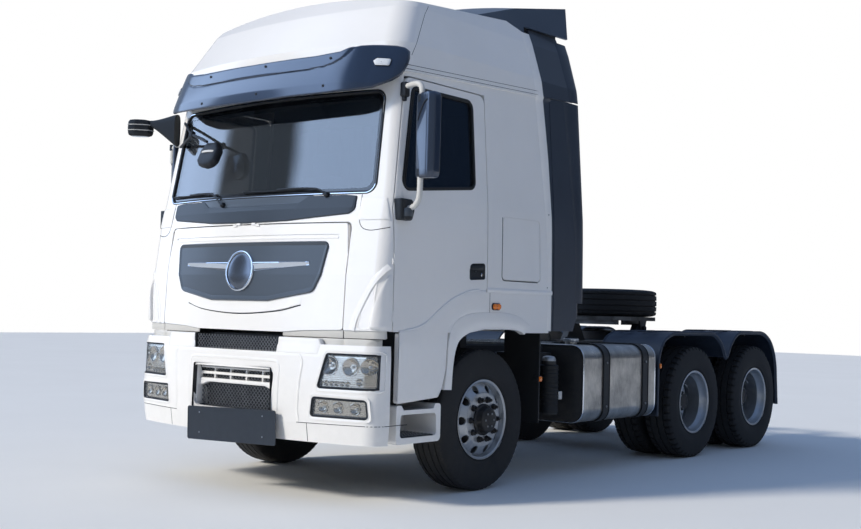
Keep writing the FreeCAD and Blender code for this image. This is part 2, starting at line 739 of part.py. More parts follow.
def window_outline(by):
    return [(-1080 - by, 2150 - by), (-250 + by, 2236 - by), (-250 + by, 2884 + by),
            (-938 - by, 2884 + by)]


def arch_outline():
    return [(-640, 600), (-606, 690), (-572, 810), (-556, 900), (-510, 1010), (-436, 1110),
            (-320, 1178), (-120, 1205), (240, 1205), (420, 1180), (640, 1180), (640, 600)]


cab_outer = cab_solid(0)
cab_inner = cab_solid(cab_wall)


def cab_shell():
    walls = cab_outer.cut(cab_inner)
    seam_cut = above_seam(0)
    body = walls.cut(seam_cut)
    body = body.cut(box(-1400, 1400, -1700, 1400, 1000, cab_low))
    floor = cab_inner.common(box(-1300, 1300, -1240, 1400, floor_top - 40, floor_top))
    tunnel_hole = box(-400, 400, -1100, 420, floor_top - 60, floor_top + 20)
    hump = box(-424, 424, -1124, 444, floor_top - 40, 1610)
    hump = hump.cut(box(-400, 400, -1100, 420, floor_top - 60, 1586))
    firewall = cab_inner.common(box(-1300, 1300, -1240, -1204, floor_top - 40, 2100))
    body = fused([body, floor.cut(tunnel_hole), hump, firewall])
    body = body.cut(along_y([(-lid_half - 8, 1000), (lid_half + 8, 1000), (lid_half + 8, lid_top + 8),
                             (-lid_half - 8, lid_top + 8)], -1700, -1242, [0, 0, 40, 40]))
    glass = [(-1090, 2128), (1090, 2128), (1052, 2850), (-1052, 2850)]
    body = body.cut(along_y(glass, -1700, -900, 70))
    for cutter in both(along_x(door_outline(shut_gap), 1050, 1400)):
        body = body.cut(cutter)
    for cutter in both(along_x(arch_outline(), 1000, 1400)):
        body = body.cut(cutter)
    corner = along_x([(-1600, 1100), (door_front - shut_gap, 1100), (door_front - shut_gap, 1186),
                      (-1600, 1186)], 940, 1400)
    for cutter in both(corner):
        body = body.cut(cutter)
    ring = along_x([(80, 1575), (600, 1575), (590, 2060), (86, 2060)], 1236, 1300, 40)
    ring = ring.cut(along_x([(88, 1583), (592, 1583), (582, 2052), (94, 2052)], 1200, 1300, 34))
    for cutter in both(ring):
        body = body.cut(cutter)
    barrels = []
    for side in (-1, 1):
        x0, x1 = sorted((side * 60.0, side * 99.7))
        barrels.append(drum(ax, (0, lid_hinge_y, lid_hinge_z), barrel_radius, x0, x1))
        barrels.append(box(x0, x1, lid_hinge_y - 3, -1350, lid_hinge_z, lid_hinge_z + 12))
        for z in door_hinges:
            leaf = drum(az, (side * half_width, door_axis_y, 0), barrel_radius, z, z + 34.7)
            xa, xb = sorted((side * (half_width - 30), side * (half_width + 3)))
            barrels.append(leaf)
            barrels.append(box(xa, xb, door_axis_y - 16, door_axis_y, z, z + 34.7))
    body = fused([body] + barrels)
    solids = sorted(body.Solids, key=lambda s: -s.Volume)
    return solids[0]


def arch_flares():
    """Lips round the front wheel arches and their dark liners, fixed to the cab's floor."""
    parts = []
    top = [(-572, 1196), (-436, 1130), (-320, 1192), (-120, 1216), (640, 1216), (640, 1228),
           (-120, 1228), (-330, 1206)]
    roof = box(700, half_width - cab_wall - 4, -430, 690, 1212, 1226)
    stays = box(820, 860, -300, 600, 1226, floor_top - 40)
    stays2 = box(1100, 1140, -300, 600, 1226, floor_top - 40)
    front = along_x([(-700, 700), (-688, 700), (-560, 1000), (-430, 1150), (-430, 1226),
                     (-446, 1226), (-446, 1160), (-572, 1004)], 800, half_width - cab_wall - 4)
    flap = box(860, half_width - cab_wall - 4, 676, 690, 470, 1212)
    whole = fused([roof, stays, stays2, front, flap])
    parts += both(whole)
    return parts


def upper_steps():
    """Step well behind the door's lower panel, hung from the cab's floor."""
    back = box(880, 894, -1080, -720, 716, floor_top - 40)
    tread = box(894, 1196, -1080, -720, 900, 925)
    low = box(894, 1196, -1080, -720, 716, 736)
    front = box(880, 1196, -1080, -1066, 716, floor_top - 40)
    return fused([back, tread, low, front])


def cab_mounts():
    beams = []
    for side in (-1, 1):
        x0, x1 = sorted((side * 470.0, side * 560.0))
        beams.append(box(x0, x1, -1230, 700, floor_top - 110, floor_top - 40))
        y, z = tilt_pivot_y, tilt_pivot_z
        xa, xb = sorted((side * 536.0, side * 604.0))
        arm = along_x([(y - 32, z - 32), (-1170, z - 32), (-1060, 1080), (-1060, floor_top - 60),
                       (-1196, floor_top - 60), (-1196, 1090), (-1250, z + 34), (y - 32, z + 34)],
                      xa, xb, [24, 40, 40, 0, 0, 40, 40, 24])
        arm = arm.cut(drum(ax, (0, y, z), pivot_pin_radius + 0.4, -700, 700))
        beams.append(arm)
        foot_a, foot_b = sorted((side * 430.0, side * 500.0))
        beams.append(box(foot_a, foot_b, 560, 640, 1262.3, floor_top - 40))
    cross = box(-560, 560, 560, 640, floor_top - 110, floor_top - 40)
    return fused(beams + [cross])


def windscreen():
    sheet = cab_solid(10).cut(cab_solid(18))
    glass = [(-1090, 2128), (1090, 2128), (1052, 2850), (-1052, 2850)]
    return sheet.common(along_y(glass, -1700, -1000, 70))


def cowl_band():
    sheet = cab_solid(-7).cut(cab_solid(0))
    shape = [(-1010, 1940), (1010, 1940), (1010, 2088), (880, 2106), (700, 2086), (300, 2086),
             (260, 2112), (-260, 2112), (-300, 2086), (-700, 2086), (-880, 2106), (-1010, 2088)]
    band = sheet.common(along_y(shape, -1700, -1100, 10))
    pad = cab_solid(-14).cut(cab_solid(0))
    side = along_x([(-1390, 1958), (-1190, 1935), (door_front - 20, 1935), (door_front - 20, 2092),
                    (-1340, 2092)], 1020, 1400, [30, 20, 10, 10, 40])
    return [band] + both(pad.common(side))


def sun_visor():
    def solid(inset):
        levels = [(2700.0, 1222.0, -1474.0), (2880.0, 1216.0, -1450.0), (3200.0, 1192.0, -1366.0)]
        wires = [plan_wire(h - inset, f + inset, 0.0, 330 - inset, 50, z) for z, h, f in levels]
        return Part.makeLoft(wires, True, True)
    outer = solid(0)
    wall = outer.cut(solid(26))
    shelf = outer.common(box(-1300, 1300, -1700, 0, 3046, 3070)).cut(roof_solid(0))
    face = [(0, 2748), (760, 2752), (1000, 2800), (1150, 2868), (1250, 2960), (1250, 3176),
            (1110, 3160), (960, 3140), (880, 3072), (0, 3072)]
    outline = face + [(-x, z) for x, z in reversed(face[1:-1])]
    window = along_y(outline, -1700, -960)
    body = wall.common(window)
    body = body.cut(cab_outer)
    door_room = along_x([(-1190, 2700), (-1190, 2880), (-1160, door_top + 7), (-900, door_top + 7),
                         (-900, 2700)], 1100, 1400)
    corner_top = along_x([(-1250, 3300), (-1210, 3172), (-1090, 3150), (-985, 3120), (-900, 3040),
                          (-900, 3300)], 1000, 1400, [0, 60, 60, 30, 0, 0])
    for cutter in both(door_room) + both(corner_top):
        body = body.cut(cutter)
    shelf = shelf.common(box(-1150, 1150, -1700, -1030, 3000, 3100)).cut(cab_outer)
    ties = []
    for side in (-1, 1):
        x0, x1 = sorted((side * 1020.0, side * 1050.0))
        tie = outer.common(box(x0, x1, -1500, -1040, 2870, 3046)).cut(cab_outer)
        ties.append(tie)
    return fused([body, shelf] + ties).cut(roof_solid(0))


def cab_roof():
    body = roof_solid(0).common(above_seam(0))
    room = roof_solid(40).common(above_seam(-200))
    return body.cut(room)


def fairings():
    long_outer = cab_solid(0, 420).cut(cab_solid(24, 520))
    side = long_outer.cut(above_seam(3))
    side = side.common(box(1050, 1400, 792, 1190, 1196, 3200))
    low_cut = along_x([(1040, 1100), (1300, 1100), (1300, 1420), (1190, 1420), (1130, 1290)], 900, 1400)
    side = side.cut(low_cut)
    high = roof_solid(0, 520).cut(roof_solid(24, 620)).common(above_seam(6))
    high = high.common(box(980, 1400, 672, 1150, 2900, 3630))
    stays = []
    for z in (1500.0, 2300.0):
        stays.append(box(1130, 1248, 734, 840, z, z + 40).common(cab_solid(4, 420)))
    stays.append(box(1030, 1100, 600, 700, 3300, 3340))
    left = fused([side] + stays[:2])
    left = left.cut(cab_outer)
    upper = fused([high, stays[2]]).cut(roof_solid(0))
    return both(left) + both(upper)


def roof_deflector():
    def solid(inset):
        wires = []
        for y, half_low, low, half_high, high, apex in (
                (-40.0, 1000.0, 3560.0, 985.0, 3600.0, 3700.0),
                (500.0, 1035.0, 3560.0, 1010.0, 3770.0, 3860.0),
                (1180.0, 1085.0, 3560.0, 1050.0, 3905.0, overall_height)):
            y = y + (0 if y < 1100 else 0)
            low_left = V(-half_low + inset, y, low)
            low_right = V(half_low - inset, y, low)
            top_left = V(-half_high + inset, y, high - inset)
            top_right = V(half_high - inset, y, high - inset)
            arc = Part.Arc(top_right, V(0, y, apex - inset), top_left).toShape()
            wires.append(Part.Wire([Part.makeLine(low_left, low_right),
                                    Part.makeLine(low_right, top_right), arc,
                                    Part.makeLine(top_left, low_left)]))
        return Part.makeLoft(wires, True, True)
    inner = solid(22).common(box(-1300, 1300, 100, 1400, 3000, 4400))
    body = solid(0).cut(inner)
    body = body.cut(roof_solid(0, 900)).cut(box(-1300, 1300, 600, 1400, 3000, 3640))
    solids = sorted(body.Solids, key=lambda s: -s.Volume)
    return solids[0]


def cab_interior():
    dash = along_x([(-1200, 1700), (-930, 1640), (-820, 1900), (-900, 2050), (-1180, 2110)],
                   -1120, 1120, [0, 60, 60, 60, 20])
    bunk = box(-1150, 1150, 120, 660, floor_top, 1780)
    mattress = along_x([(130, 1780), (640, 1780), (640, 1900), (130, 1900)], -1130, 1130, 30)
    parts = [dash, bunk, mattress]
    for side in (-1, 1):
        x = side * 640.0
        base = box(x - 210, x + 210, -480, -60, floor_top, 1700)
        seat = along_x([(-540, 1700), (-20, 1700), (-20, 1840), (-560, 1850)], x - 250, x + 250, 50)
        back = along_x([(-90, 1830), (60, 1830), (110, 2480), (-10, 2480)], x - 240, x + 240, 50)
        head = along_x([(0, 2480), (110, 2480), (130, 2680), (20, 2680)], x - 140, x + 140, 40)
        parts += [fused([base, seat, back, head])]
    wheel = Part.makeTorus(225, 16, V(640, -820, 2030), V(0, 0.5, 0.866))
    hub = Part.makeCylinder(60, 40, V(640, -820, 2010), V(0, 0.5, 0.866))
    column = Part.makeCylinder(34, 330, V(640, -820, 2020), V(0, -0.5, -0.866))
    spokes = box(430, 850, -850, -800, 2012, 2036)
    steering = fused([wheel, hub, spokes, column])
    parts.append(steering.cut(dash))
    shell = cab_shell()
    parts[0] = parts[0].cut(shell)
    parts[1] = parts[1].cut(shell)
    return parts


def door(side_x=1):
    shell = cab_outer.cut(cab_inner)
    panel = shell.common(along_x(door_outline(0), 1000, 1400, [14, 0, 0, 0, 0, 0, 24, 60, 40, 0]))
    panel = panel.cut(along_x(window_outline(0), 900, 1400, 60))
    recess = along_x([(-312, 1566), (-134, 1576), (-134, 1690), (-312, 1680)], 1232, 1400, 26)
    panel = panel.cut(recess)
    skirt_outline = [(skirt_front, 696), (-650, 726), (-606, 790), (-575, 900), (-560, 1110),
                     (-590, 1172), (skirt_front, 1172)]
    skirt = along_x(skirt_outline, half_width - 34, half_width - 1, [20, 30, 10, 10, 10, 16, 8])
    tie = box(half_width - 41, half_width - 34, skirt_front + 40, -965, 1100, 1182)
    barrels = []
    for z in door_hinges:
        barrels.append(drum(az, (half_width, door_axis_y, 0), barrel_radius, z + 35, z + 70))
        barrels.append(box(half_width - 30, half_width + 3, door_axis_y, door_axis_y + 16, z + 35, z + 70))
    return [fused([panel] + barrels), fused([skirt, tie])]


def door_glass():
    sheet = cab_solid(16).cut(cab_solid(21))
    return sheet.common(along_x(window_outline(-0.5), 1000, 1400, 59))


def mirror():
    """Door mirror: foot on the door, a bent arm and the tall housing outboard of it."""
    foot = along_x([(door_front + 4, 1935), (-1010, 1935), (-992, 2010), (-1010, 2092),
                    (door_front + 4, 2092)], 1216, 1290, [10, 30, 20, 30, 10])
    foot = foot.cut(cab_solid(0))
    low_arm = Part.makeCylinder(19, 190, V(1262, -1072, 2020), V(0.62, 0.1, 0.0))
    low_tube = drum(az, (1375, -1056, 0), 19, 2010, 2860)
    high_arm = Part.makeCylinder(17, 240, V(1375, -1056, 2850), V(-0.88, 0.44, 0.0))
    high_arm = high_arm.cut(cab_outer)
    case = along_x([(-1066, 2222), (-880, 2214), (-866, 2240), (-866, 2780), (-884, 2808),
                    (-1066, 2812)], 1322, 1480, [30, 30, 20, 20, 30, 30])
    case = along_z([(1316, -1030), (1330, -1066), (1470, -1110), (1508, -1080), (1512, -1012),
                    (1316, -962)], 2222, 2806, [16, 40, 40, 20, 14, 14])
    return fused([foot, low_arm, low_tube, high_arm, case])


def passenger_mirror():
    """The far door's mirror: lower, set back and turned so that its outer end lies further back."""
    foot = along_x([(door_front + 4, 1935), (-1010, 1935), (-992, 2010), (-1010, 2092),
                    (door_front + 4, 2092)], -1290, -1216, [10, 30, 20, 30, 10])
    foot = foot.cut(cab_solid(0))
    post_x, post_y, top = -1385.0, -962.0, 2662.0
    low_arm = bar((-1262, -1060, 2020), (post_x, post_y, 2020), 19)
    post = drum(az, (post_x, post_y, 0), 19, 1994, top)
    high_arm = bar((post_x, post_y, top - 24), (-1150, -1012, top - 24), 17).cut(cab_outer)
    case = along_z([(-1320, -1008), (-1440, -928), (-1486, -872), (-1482, -836),
                    (-1464, -822), (-1306, -944)], 2130, top + 8, [18, 50, 24, 9, 9, 14])
    return fused([foot, low_arm, post, high_arm, case])


def corner_mirrors():
    """Mirrors on the cab's far front corner: one before the windscreen, one above the far door."""
    joint = (-700, -1322, 2636)
    arms = [bar((-1120, -1050, 2795), joint, 12), bar((-1122, -1088, 2597), joint, 12),
            bar(joint, (-430, -1392, 2556), 13)]
    head = along_y([(-520, 2384), (-480, 2354), (-400, 2338), (-320, 2354), (-282, 2400),
                    (-282, 2500), (-330, 2570), (-470, 2570), (-520, 2500)], -1432, -1352, 24)
    front = fused(arms + [head]).cut(cab_outer)
    root = Part.makePolygon([V(-1172, -1120, 2640), V(-1172, -1060, 2632), V(-1172, -1060, 2838),
                             V(-1172, -1120, 2838), V(-1172, -1120, 2640)])
    tip = Part.makePolygon([V(-1372, -1216, 2768), V(-1372, -1160, 2768), V(-1372, -1160, 2822),
                            V(-1372, -1216, 2822), V(-1372, -1216, 2768)])
    bracket = Part.makeLoft([Part.Wire(root.Edges), Part.Wire(tip.Edges)], True, True)
    pod = along_z([(-1368, -1236), (-1368, -1150), (-1420, -1180), (-1502, -1276), (-1510, -1330),
                   (-1490, -1344), (-1440, -1316)], 2704, 2812, [20, 20, 40, 30, 16, 16, 40])
    pod = pod.cut(along_x([(-1400, 2600), (-1120, 2600), (-1120, 2760), (-1350, 2716), (-1400, 2716)],
                          -1600, -1300))
    kerb = fused([bracket, pod]).cut(cab_outer)
    return [front, kerb]


def front_lid():
    walls = cab_outer.cut(cab_solid(28))
    outline = [(-lid_half, 1188), (-620, 1176), (-440, lid_low), (440, lid_low), (620, 1176),
               (lid_half, 1188), (lid_half, 1700), (lid_half - 30, lid_top), (-lid_half + 30, lid_top),
               (-lid_half, 1700)]
    lid = walls.common(along_y(outline, -1700, -1242, [20, 10, 10, 10, 10, 20, 10, 20, 20, 10]))
    crease = cab_outer.cut(cab_solid(6)).common(
        along_y([(-860, 1822), (860, 1822), (880, 1842), (-880, 1842)], -1700, -1242, 8))
    barrels = []
    for side in (-1, 1):
        x0, x1 = sorted((side * 100.0, side * 140.0))
        barrels.append(drum(ax, (0, lid_hinge_y, lid_hinge_z), barrel_radius, x0, x1))
        barrels.append(box(x0, x1, lid_hinge_y - 3, -1350, lid_hinge_z - 14, lid_hinge_z - 1))
    return fused([lid.cut(crease)] + barrels)


def grille_panel():
    sheet = cab_solid(-5).cut(cab_solid(0))
    outline = [(-800, 1792), (800, 1792), (760, 1560), (700, 1440), (300, 1372), (-300, 1372),
               (-700, 1440), (-760, 1560)]
    return sheet.common(along_y(outline, -1700, -1242, [40, 40, 30, 60, 60, 60, 60, 30]))


export("frame_rail_left", rail())
export("frame_rail_right", rail().mirror(V(0, 0, 0), ax))
export("frame_crossmembers", crossmembers() + [hitch_plate()])
export("deck_plate", deck())
hangers = []
for piece in both(pivot_bracket()) + both(cab_rest()[0]):
    hangers.append(piece)
export("cab_hangers", hangers)
bumper = front_bumper()
stay = box(458, 500, -1500, -1240, 800, 868)
stays = [s.common(bumper_inner) for s in both(stay)]
export("front_bumper", [bumper])
export("bumper_stays", stays)
export("bumper_grilles", bumper_grilles())
lamp_houses, lamp_lenses = lamp_parts()
export("lamp_units", lamp_houses)
export("lamp_lenses", lamp_lenses)
export("lower_steps", both(lower_step()))
engine_block, bogie_shaft = powertrain()
export("powertrain", [engine_block, bogie_shaft])
export("front_axle", front_axle())
export("drive_axles", [drive_axle(drive1_y), drive_axle(drive2_y)])
springs = both(front_spring(390.0)) + [bogie_spring(-1), bogie_spring(1)]
export("leaf_springs", springs)
export("fuel_tank", fuel_tank())
export("tank_straps", tank_straps())
export("air_units", air_units())
muffler, right_side = right_boxes()
export("exhaust_box", muffler)
export("battery_box", right_side)
export("rear_mudguards", both(rear_mudguard()))
export("tail_lamps", both(tail_lamps()))
export("coupling_base", coupling_base())
export("coupling_plate", coupling_plate())
spare_z = coupling_top + (tyre_width - 20) / 2
spare_at = (0, coupling_y, spare_z)
export("spare_tyre", tyre(spare_at, tyre_width - 20, az))
export("spare_rim", rim(spare_at, tyre_width - 20, 112.0, None, az))
for name, side in (("left", 1), ("right", -1)):
    at = (side * front_track_half, 0, tyre_radius)
    export("front_tyre_" + name, tyre(at, tyre_width))
    export("front_rim_" + name, rim(at, tyre_width, side * 140.0, side * 205.0, None,
                                    side * 160.0, side * -30.0, side))
    export("knuckle_" + name, knuckle(side))
    for label, y in (("drive1", drive1_y), ("drive2", drive2_y)):
        outer = (side * twin_outer_x, y, tyre_radius)
        inner = (side * (twin_outer_x - twin_spacing), y, tyre_radius)
        hole_end = side * (hub_bore_end + 5 - twin_outer_x)
        meet = twin_spacing / 2
        rims = [rim(outer, 290.0, side * -meet, side * 20.0, None, hole_end, None, side),
                rim(inner, 290.0, side * meet, None, None, 0.0, side * -20.0)]
        export(label + "_tyres_" + name, [tyre(outer, 290.0), tyre(inner, 290.0)])
        export(label + "_rims_" + name, rims)
export("tie_rod", tie_rod())
export("cab_shell", cab_shell())
export("cab_roof", cab_roof())
export("windscreen", windscreen())
export("cowl_band", cowl_band())
export("sun_visor", sun_visor())
export("side_fairings", fairings())
export("roof_deflector", roof_deflector())
export("cab_interior", cab_interior())
export("cab_mounts", cab_mounts())
export("arch_liners", arch_flares() + both(upper_steps()))
left_door = door()
left_glass = door_glass()
left_mirror = mirror()
export("door_left", left_door)
export("door_right", [s.mirror(V(0, 0, 0), ax) for s in left_door])
export("door_glass_left", left_glass)
export("door_glass_right", left_glass.mirror(V(0, 0, 0), ax))
export("mirror_left", left_mirror)
export("mirror_right", passenger_mirror())
export("corner_mirrors", corner_mirrors())
export("front_lid", front_lid())
export("grille_panel", grille_panel())
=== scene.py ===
import json
import math
import bmesh
import bpy
import numpy as np
from mathutils import Matrix, Vector

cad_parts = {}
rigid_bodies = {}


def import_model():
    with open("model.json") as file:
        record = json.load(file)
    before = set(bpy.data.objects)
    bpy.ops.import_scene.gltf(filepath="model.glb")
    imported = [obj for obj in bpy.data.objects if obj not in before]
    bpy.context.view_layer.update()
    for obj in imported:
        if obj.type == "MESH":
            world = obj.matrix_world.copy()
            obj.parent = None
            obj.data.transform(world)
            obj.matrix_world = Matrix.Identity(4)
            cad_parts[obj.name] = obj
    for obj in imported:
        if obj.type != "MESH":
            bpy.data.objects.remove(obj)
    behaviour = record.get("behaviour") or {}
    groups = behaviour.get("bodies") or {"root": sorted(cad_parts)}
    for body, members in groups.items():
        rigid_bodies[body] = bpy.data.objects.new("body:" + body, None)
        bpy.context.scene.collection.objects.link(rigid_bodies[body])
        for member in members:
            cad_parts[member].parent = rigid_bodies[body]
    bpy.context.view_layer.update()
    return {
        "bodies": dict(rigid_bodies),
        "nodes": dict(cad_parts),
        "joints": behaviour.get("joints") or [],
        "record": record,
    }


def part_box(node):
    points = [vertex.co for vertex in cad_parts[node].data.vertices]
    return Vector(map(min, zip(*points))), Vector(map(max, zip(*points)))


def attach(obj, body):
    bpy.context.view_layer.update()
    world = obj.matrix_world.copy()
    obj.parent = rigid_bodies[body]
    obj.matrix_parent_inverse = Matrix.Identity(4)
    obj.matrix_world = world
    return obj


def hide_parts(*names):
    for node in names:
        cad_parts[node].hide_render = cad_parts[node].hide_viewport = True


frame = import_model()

nodes = frame["nodes"]
rowShift = -2020.0  # mm, from the front axle's line, which the numbers below start from, to the row frame
print("frame loaded,", len(nodes), "CAD nodes")


# shapes worked out with numpy, all in mm from the front axle's line

def quads(rows, columns, closeRows=False, closeColumns=False):
    # joins each point of a grid to its neighbours; a closed direction joins its last line to its first
    r, c = np.meshgrid(np.arange(rows if closeRows else rows - 1),
                       np.arange(columns if closeColumns else columns - 1), indexing="ij")
    nextR = (r + 1) % rows
    nextC = (c + 1) % columns
    return np.stack([r * columns + c, r * columns + nextC,
                     nextR * columns + nextC, nextR * columns + c], -1).reshape(-1, 4)


def skin(grid, closeRows=False, closeColumns=False, caps=False, flip=False):
    # a surface from points on a grid (rows, columns, 3); caps close the first and last row
    grid = np.asarray(grid, float)
    rows, columns = grid.shape[:2]
    faces = [quads(rows, columns, closeRows, closeColumns)]
    if caps:
        faces.append(np.arange(columns)[::-1][None, :])
        faces.append((rows - 1) * columns + np.arange(columns)[None, :])
    if flip:
        faces = [f[:, ::-1] for f in faces]
    return grid.reshape(-1, 3), faces


def hoops(rows, caps=False, closeRows=False, flip=False):
    # a surface whose rows are closed rings
    return skin(rows, closeRows, True, caps, flip)


def around(count):
    # evenly spaced angles of a full turn
    return np.linspace(0, 2 * np.pi, count, endpoint=False)


def placed(flat, level, axis):
    # flat points set at a level along an axis
    return np.insert(np.asarray(flat, float), "xyz".index(axis), level, axis=1)


def stacked(outline, levels, place, middle=None, caps=False):
    # rows of the outline scaled about its middle by k, each put at its level: along an axis or on a surface
    outline = np.asarray(outline, float)
    if middle is None:
        middle = (outline.min(0) + outline.max(0)) / 2
    rows = [(middle + (outline - middle) * k, level) for k, level in levels]
    return hoops([placed(*row, place) if isinstance(place, str) else place(*row) for row in rows], caps)


def turned(along, radius, angle, axis):
    # points from their place along an axis, their radius and their angle round it
    one, two = radius * np.cos(angle), radius * np.sin(angle)
    return np.stack({"x": (along, one, two), "y": (two, along, one), "z": (one, two, along)}[axis], -1)


def sided(points, side):
    # (x, z) points drawn for the left side, put on the given side
    return np.asarray(points, float) * [side, 1]


def hairline(half, lift):
    # the profile of a narrow dark line, for seams and for painted shade in creases and slots: (across, out)
    return [(-half, -2), (-half, lift), (half, lift), (half, -2)]


def fillet(points, radius, steps=5):
    # closed outline whose corners are arcs: each corner is cut back along both edges and bridged by a
    # quadratic curve through the corner, close to the true arc
    p = np.asarray(points, float)
    r = np.broadcast_to(np.asarray(radius, float), len(p))
    before, after = np.roll(p, 1, 0) - p, np.roll(p, -1, 0) - p
    lb, la = np.linalg.norm(before, axis=1), np.linalg.norm(after, axis=1)
    ub, ua = before / lb[:, None], after / la[:, None]
    turn = np.arccos(np.clip((ub * ua).sum(1), -1, 1))
    back = np.minimum(r / np.tan(np.maximum(turn, 0.05) / 2), 0.48 * np.minimum(lb, la))
    t = np.linspace(0, 1, steps)[None, :, None]
    a, b = (p + ub * back[:, None])[:, None], (p + ua * back[:, None])[:, None]
    weight = np.sin(turn / 2)[:, None, None]
    arc = ((1 - t) ** 2 * a + 2 * t * (1 - t) * weight * p[:, None] + t ** 2 * b) / \
        ((1 - t) ** 2 + 2 * t * (1 - t) * weight + t ** 2)
    return arc.reshape(-1, 2)


def spline(points, steps=6, closed=False):
    # a smooth path through the points: Catmull-Rom, each stretch a cubic of its four nearest points
    p = np.asarray(points, float)
    ring = np.concatenate([p[-1:], p, p[:2]]) if closed else \
        np.concatenate([2 * p[:1] - p[1:2], p, 2 * p[-1:] - p[-2:-1]])
    n = len(ring) - 3
    t = (np.arange(steps) / steps)[None, :, None]
    a, b, c, d = (ring[i:i + n][:, None] for i in range(4))
    out = 2 * b + (c - a) * t + (2 * a - 5 * b + 4 * c - d) * t ** 2 + (3 * b - a - 3 * c + d) * t ** 3
    out = 0.5 * out.reshape(-1, p.shape[1])
    return out if closed else np.concatenate([out, p[-1:]])


def carried(path, profile, up=(0, 0, 1), closed=False):
    # a flat profile carried along a path: sideways is path direction x up, so the profile stays upright
    path, profile = np.asarray(path, float), np.asarray(profile, float)
    step = np.roll(path, -1, 0) - np.roll(path, 1, 0)
    if not closed:
        step[0], step[-1] = path[1] - path[0], path[-1] - path[-2]
    step /= np.linalg.norm(step, axis=1)[:, None]
    side = np.cross(step, np.asarray(up, float))
    side /= np.maximum(np.linalg.norm(side, axis=1), 1e-9)[:, None]
    rise = np.cross(side, step)
    grid = path[:, None] + side[:, None] * profile[None, :, :1] + rise[:, None] * profile[None, :, 1:]
    return hoops(grid, closeRows=closed, caps=not closed)


def tube(path, radius, sides=12, steps=6):
    # a round bar along a smooth path: a circle carried along it, upright to the path's least direction
    path = spline(path, steps) if steps > 1 else np.asarray(path, float)
    up = np.eye(3)[np.argmin(np.abs(path[-1] - path[0]))]
    a = around(sides)
    return carried(path, np.stack([np.cos(a), np.sin(a)], 1) * radius, up)


def spun(profile, centre, axis="x", sides=64, close=False, start=0.0):
    # a shape turned round an axis: profile points are (along the axis, radius)
    profile = np.asarray(profile, float)
    angle = around(sides)[None, :] + start
    along = np.repeat(profile[:, :1], sides, 1)
    return hoops(turned(along, profile[:, 1:], angle, axis) + np.asarray(centre, float), closeRows=close)


def softBox(low, high, radius, steps=3):
    # a box with round edges: on a sphere of directions, each point is pushed out to its own corner's centre
    low, high = np.minimum(low, high).astype(float), np.maximum(low, high).astype(float)
    half = (high - low) / 2
    radius = min(radius, half.min() * 0.999)
    k = np.linspace(0, np.pi / 2, steps + 1)
    u = np.concatenate([k + q * np.pi / 2 for q in range(4)])
    su = np.repeat([1, -1, -1, 1], steps + 1), np.repeat([1, 1, -1, -1], steps + 1)
    v = np.concatenate([k - np.pi / 2, k])
    sv = np.repeat([-1, 1], steps + 1)
    inner = half - radius
    x = np.cos(v)[:, None] * np.cos(u)[None] * radius + su[0][None] * inner[0]
    y = np.cos(v)[:, None] * np.sin(u)[None] * radius + su[1][None] * inner[1]
    z = np.sin(v)[:, None] * radius + sv[:, None] * inner[2] + 0 * x
    return hoops(np.stack([x, y, z], -1) + (low + high) / 2, caps=True)


def slab(outline, start, end, axis="y", edge=0.0):
    # a flat outline given thickness along an axis, its edges broken by a small slope
    p = np.asarray(outline, float)
    middle = (p.min(0) + p.max(0)) / 2
    size = np.maximum((p.max(0) - p.min(0)) / 2, 1e-6)
    small = middle + (p - middle) * (1 - edge / size)
    sign = 1 if end > start else -1
    levels = [(small, start), (p, start + sign * edge), (p, end - sign * edge), (small, end)] if edge else \
        [(p, start), (p, end)]
    return hoops([placed(flat, level, axis) for flat, level in levels], caps=True)


def moved(part, by=(0, 0, 0), turn=None, about=(0, 0, 0)):
    # the part turned by a 3x3 matrix about a point, then moved
    points = part[0] - np.asarray(about, float)
    if turn is not None:
        points = points @ np.asarray(turn, float).T
    return (points + about + by,) + tuple(part[1:])


def turnMatrix(axis, degrees):
    c, s = math.cos(math.radians(degrees)), math.sin(math.radians(degrees))
    return {"x": np.array([[1, 0, 0], [0, c, -s], [0, s, c]]),
            "y": np.array([[c, 0, s], [0, 1, 0], [-s, 0, c]]),
            "z": np.array([[c, -s, 0], [s, c, 0], [0, 0, 1]])}[axis]


def mirrored(part):
    # the other side's copy, with its faces turned back outwards
    points = part[0] * np.array([-1.0, 1, 1])
    return (points, [f[:, ::-1] for f in part[1]]) + tuple(part[2:])


def painted(part, index):
    return part[0], part[1], index


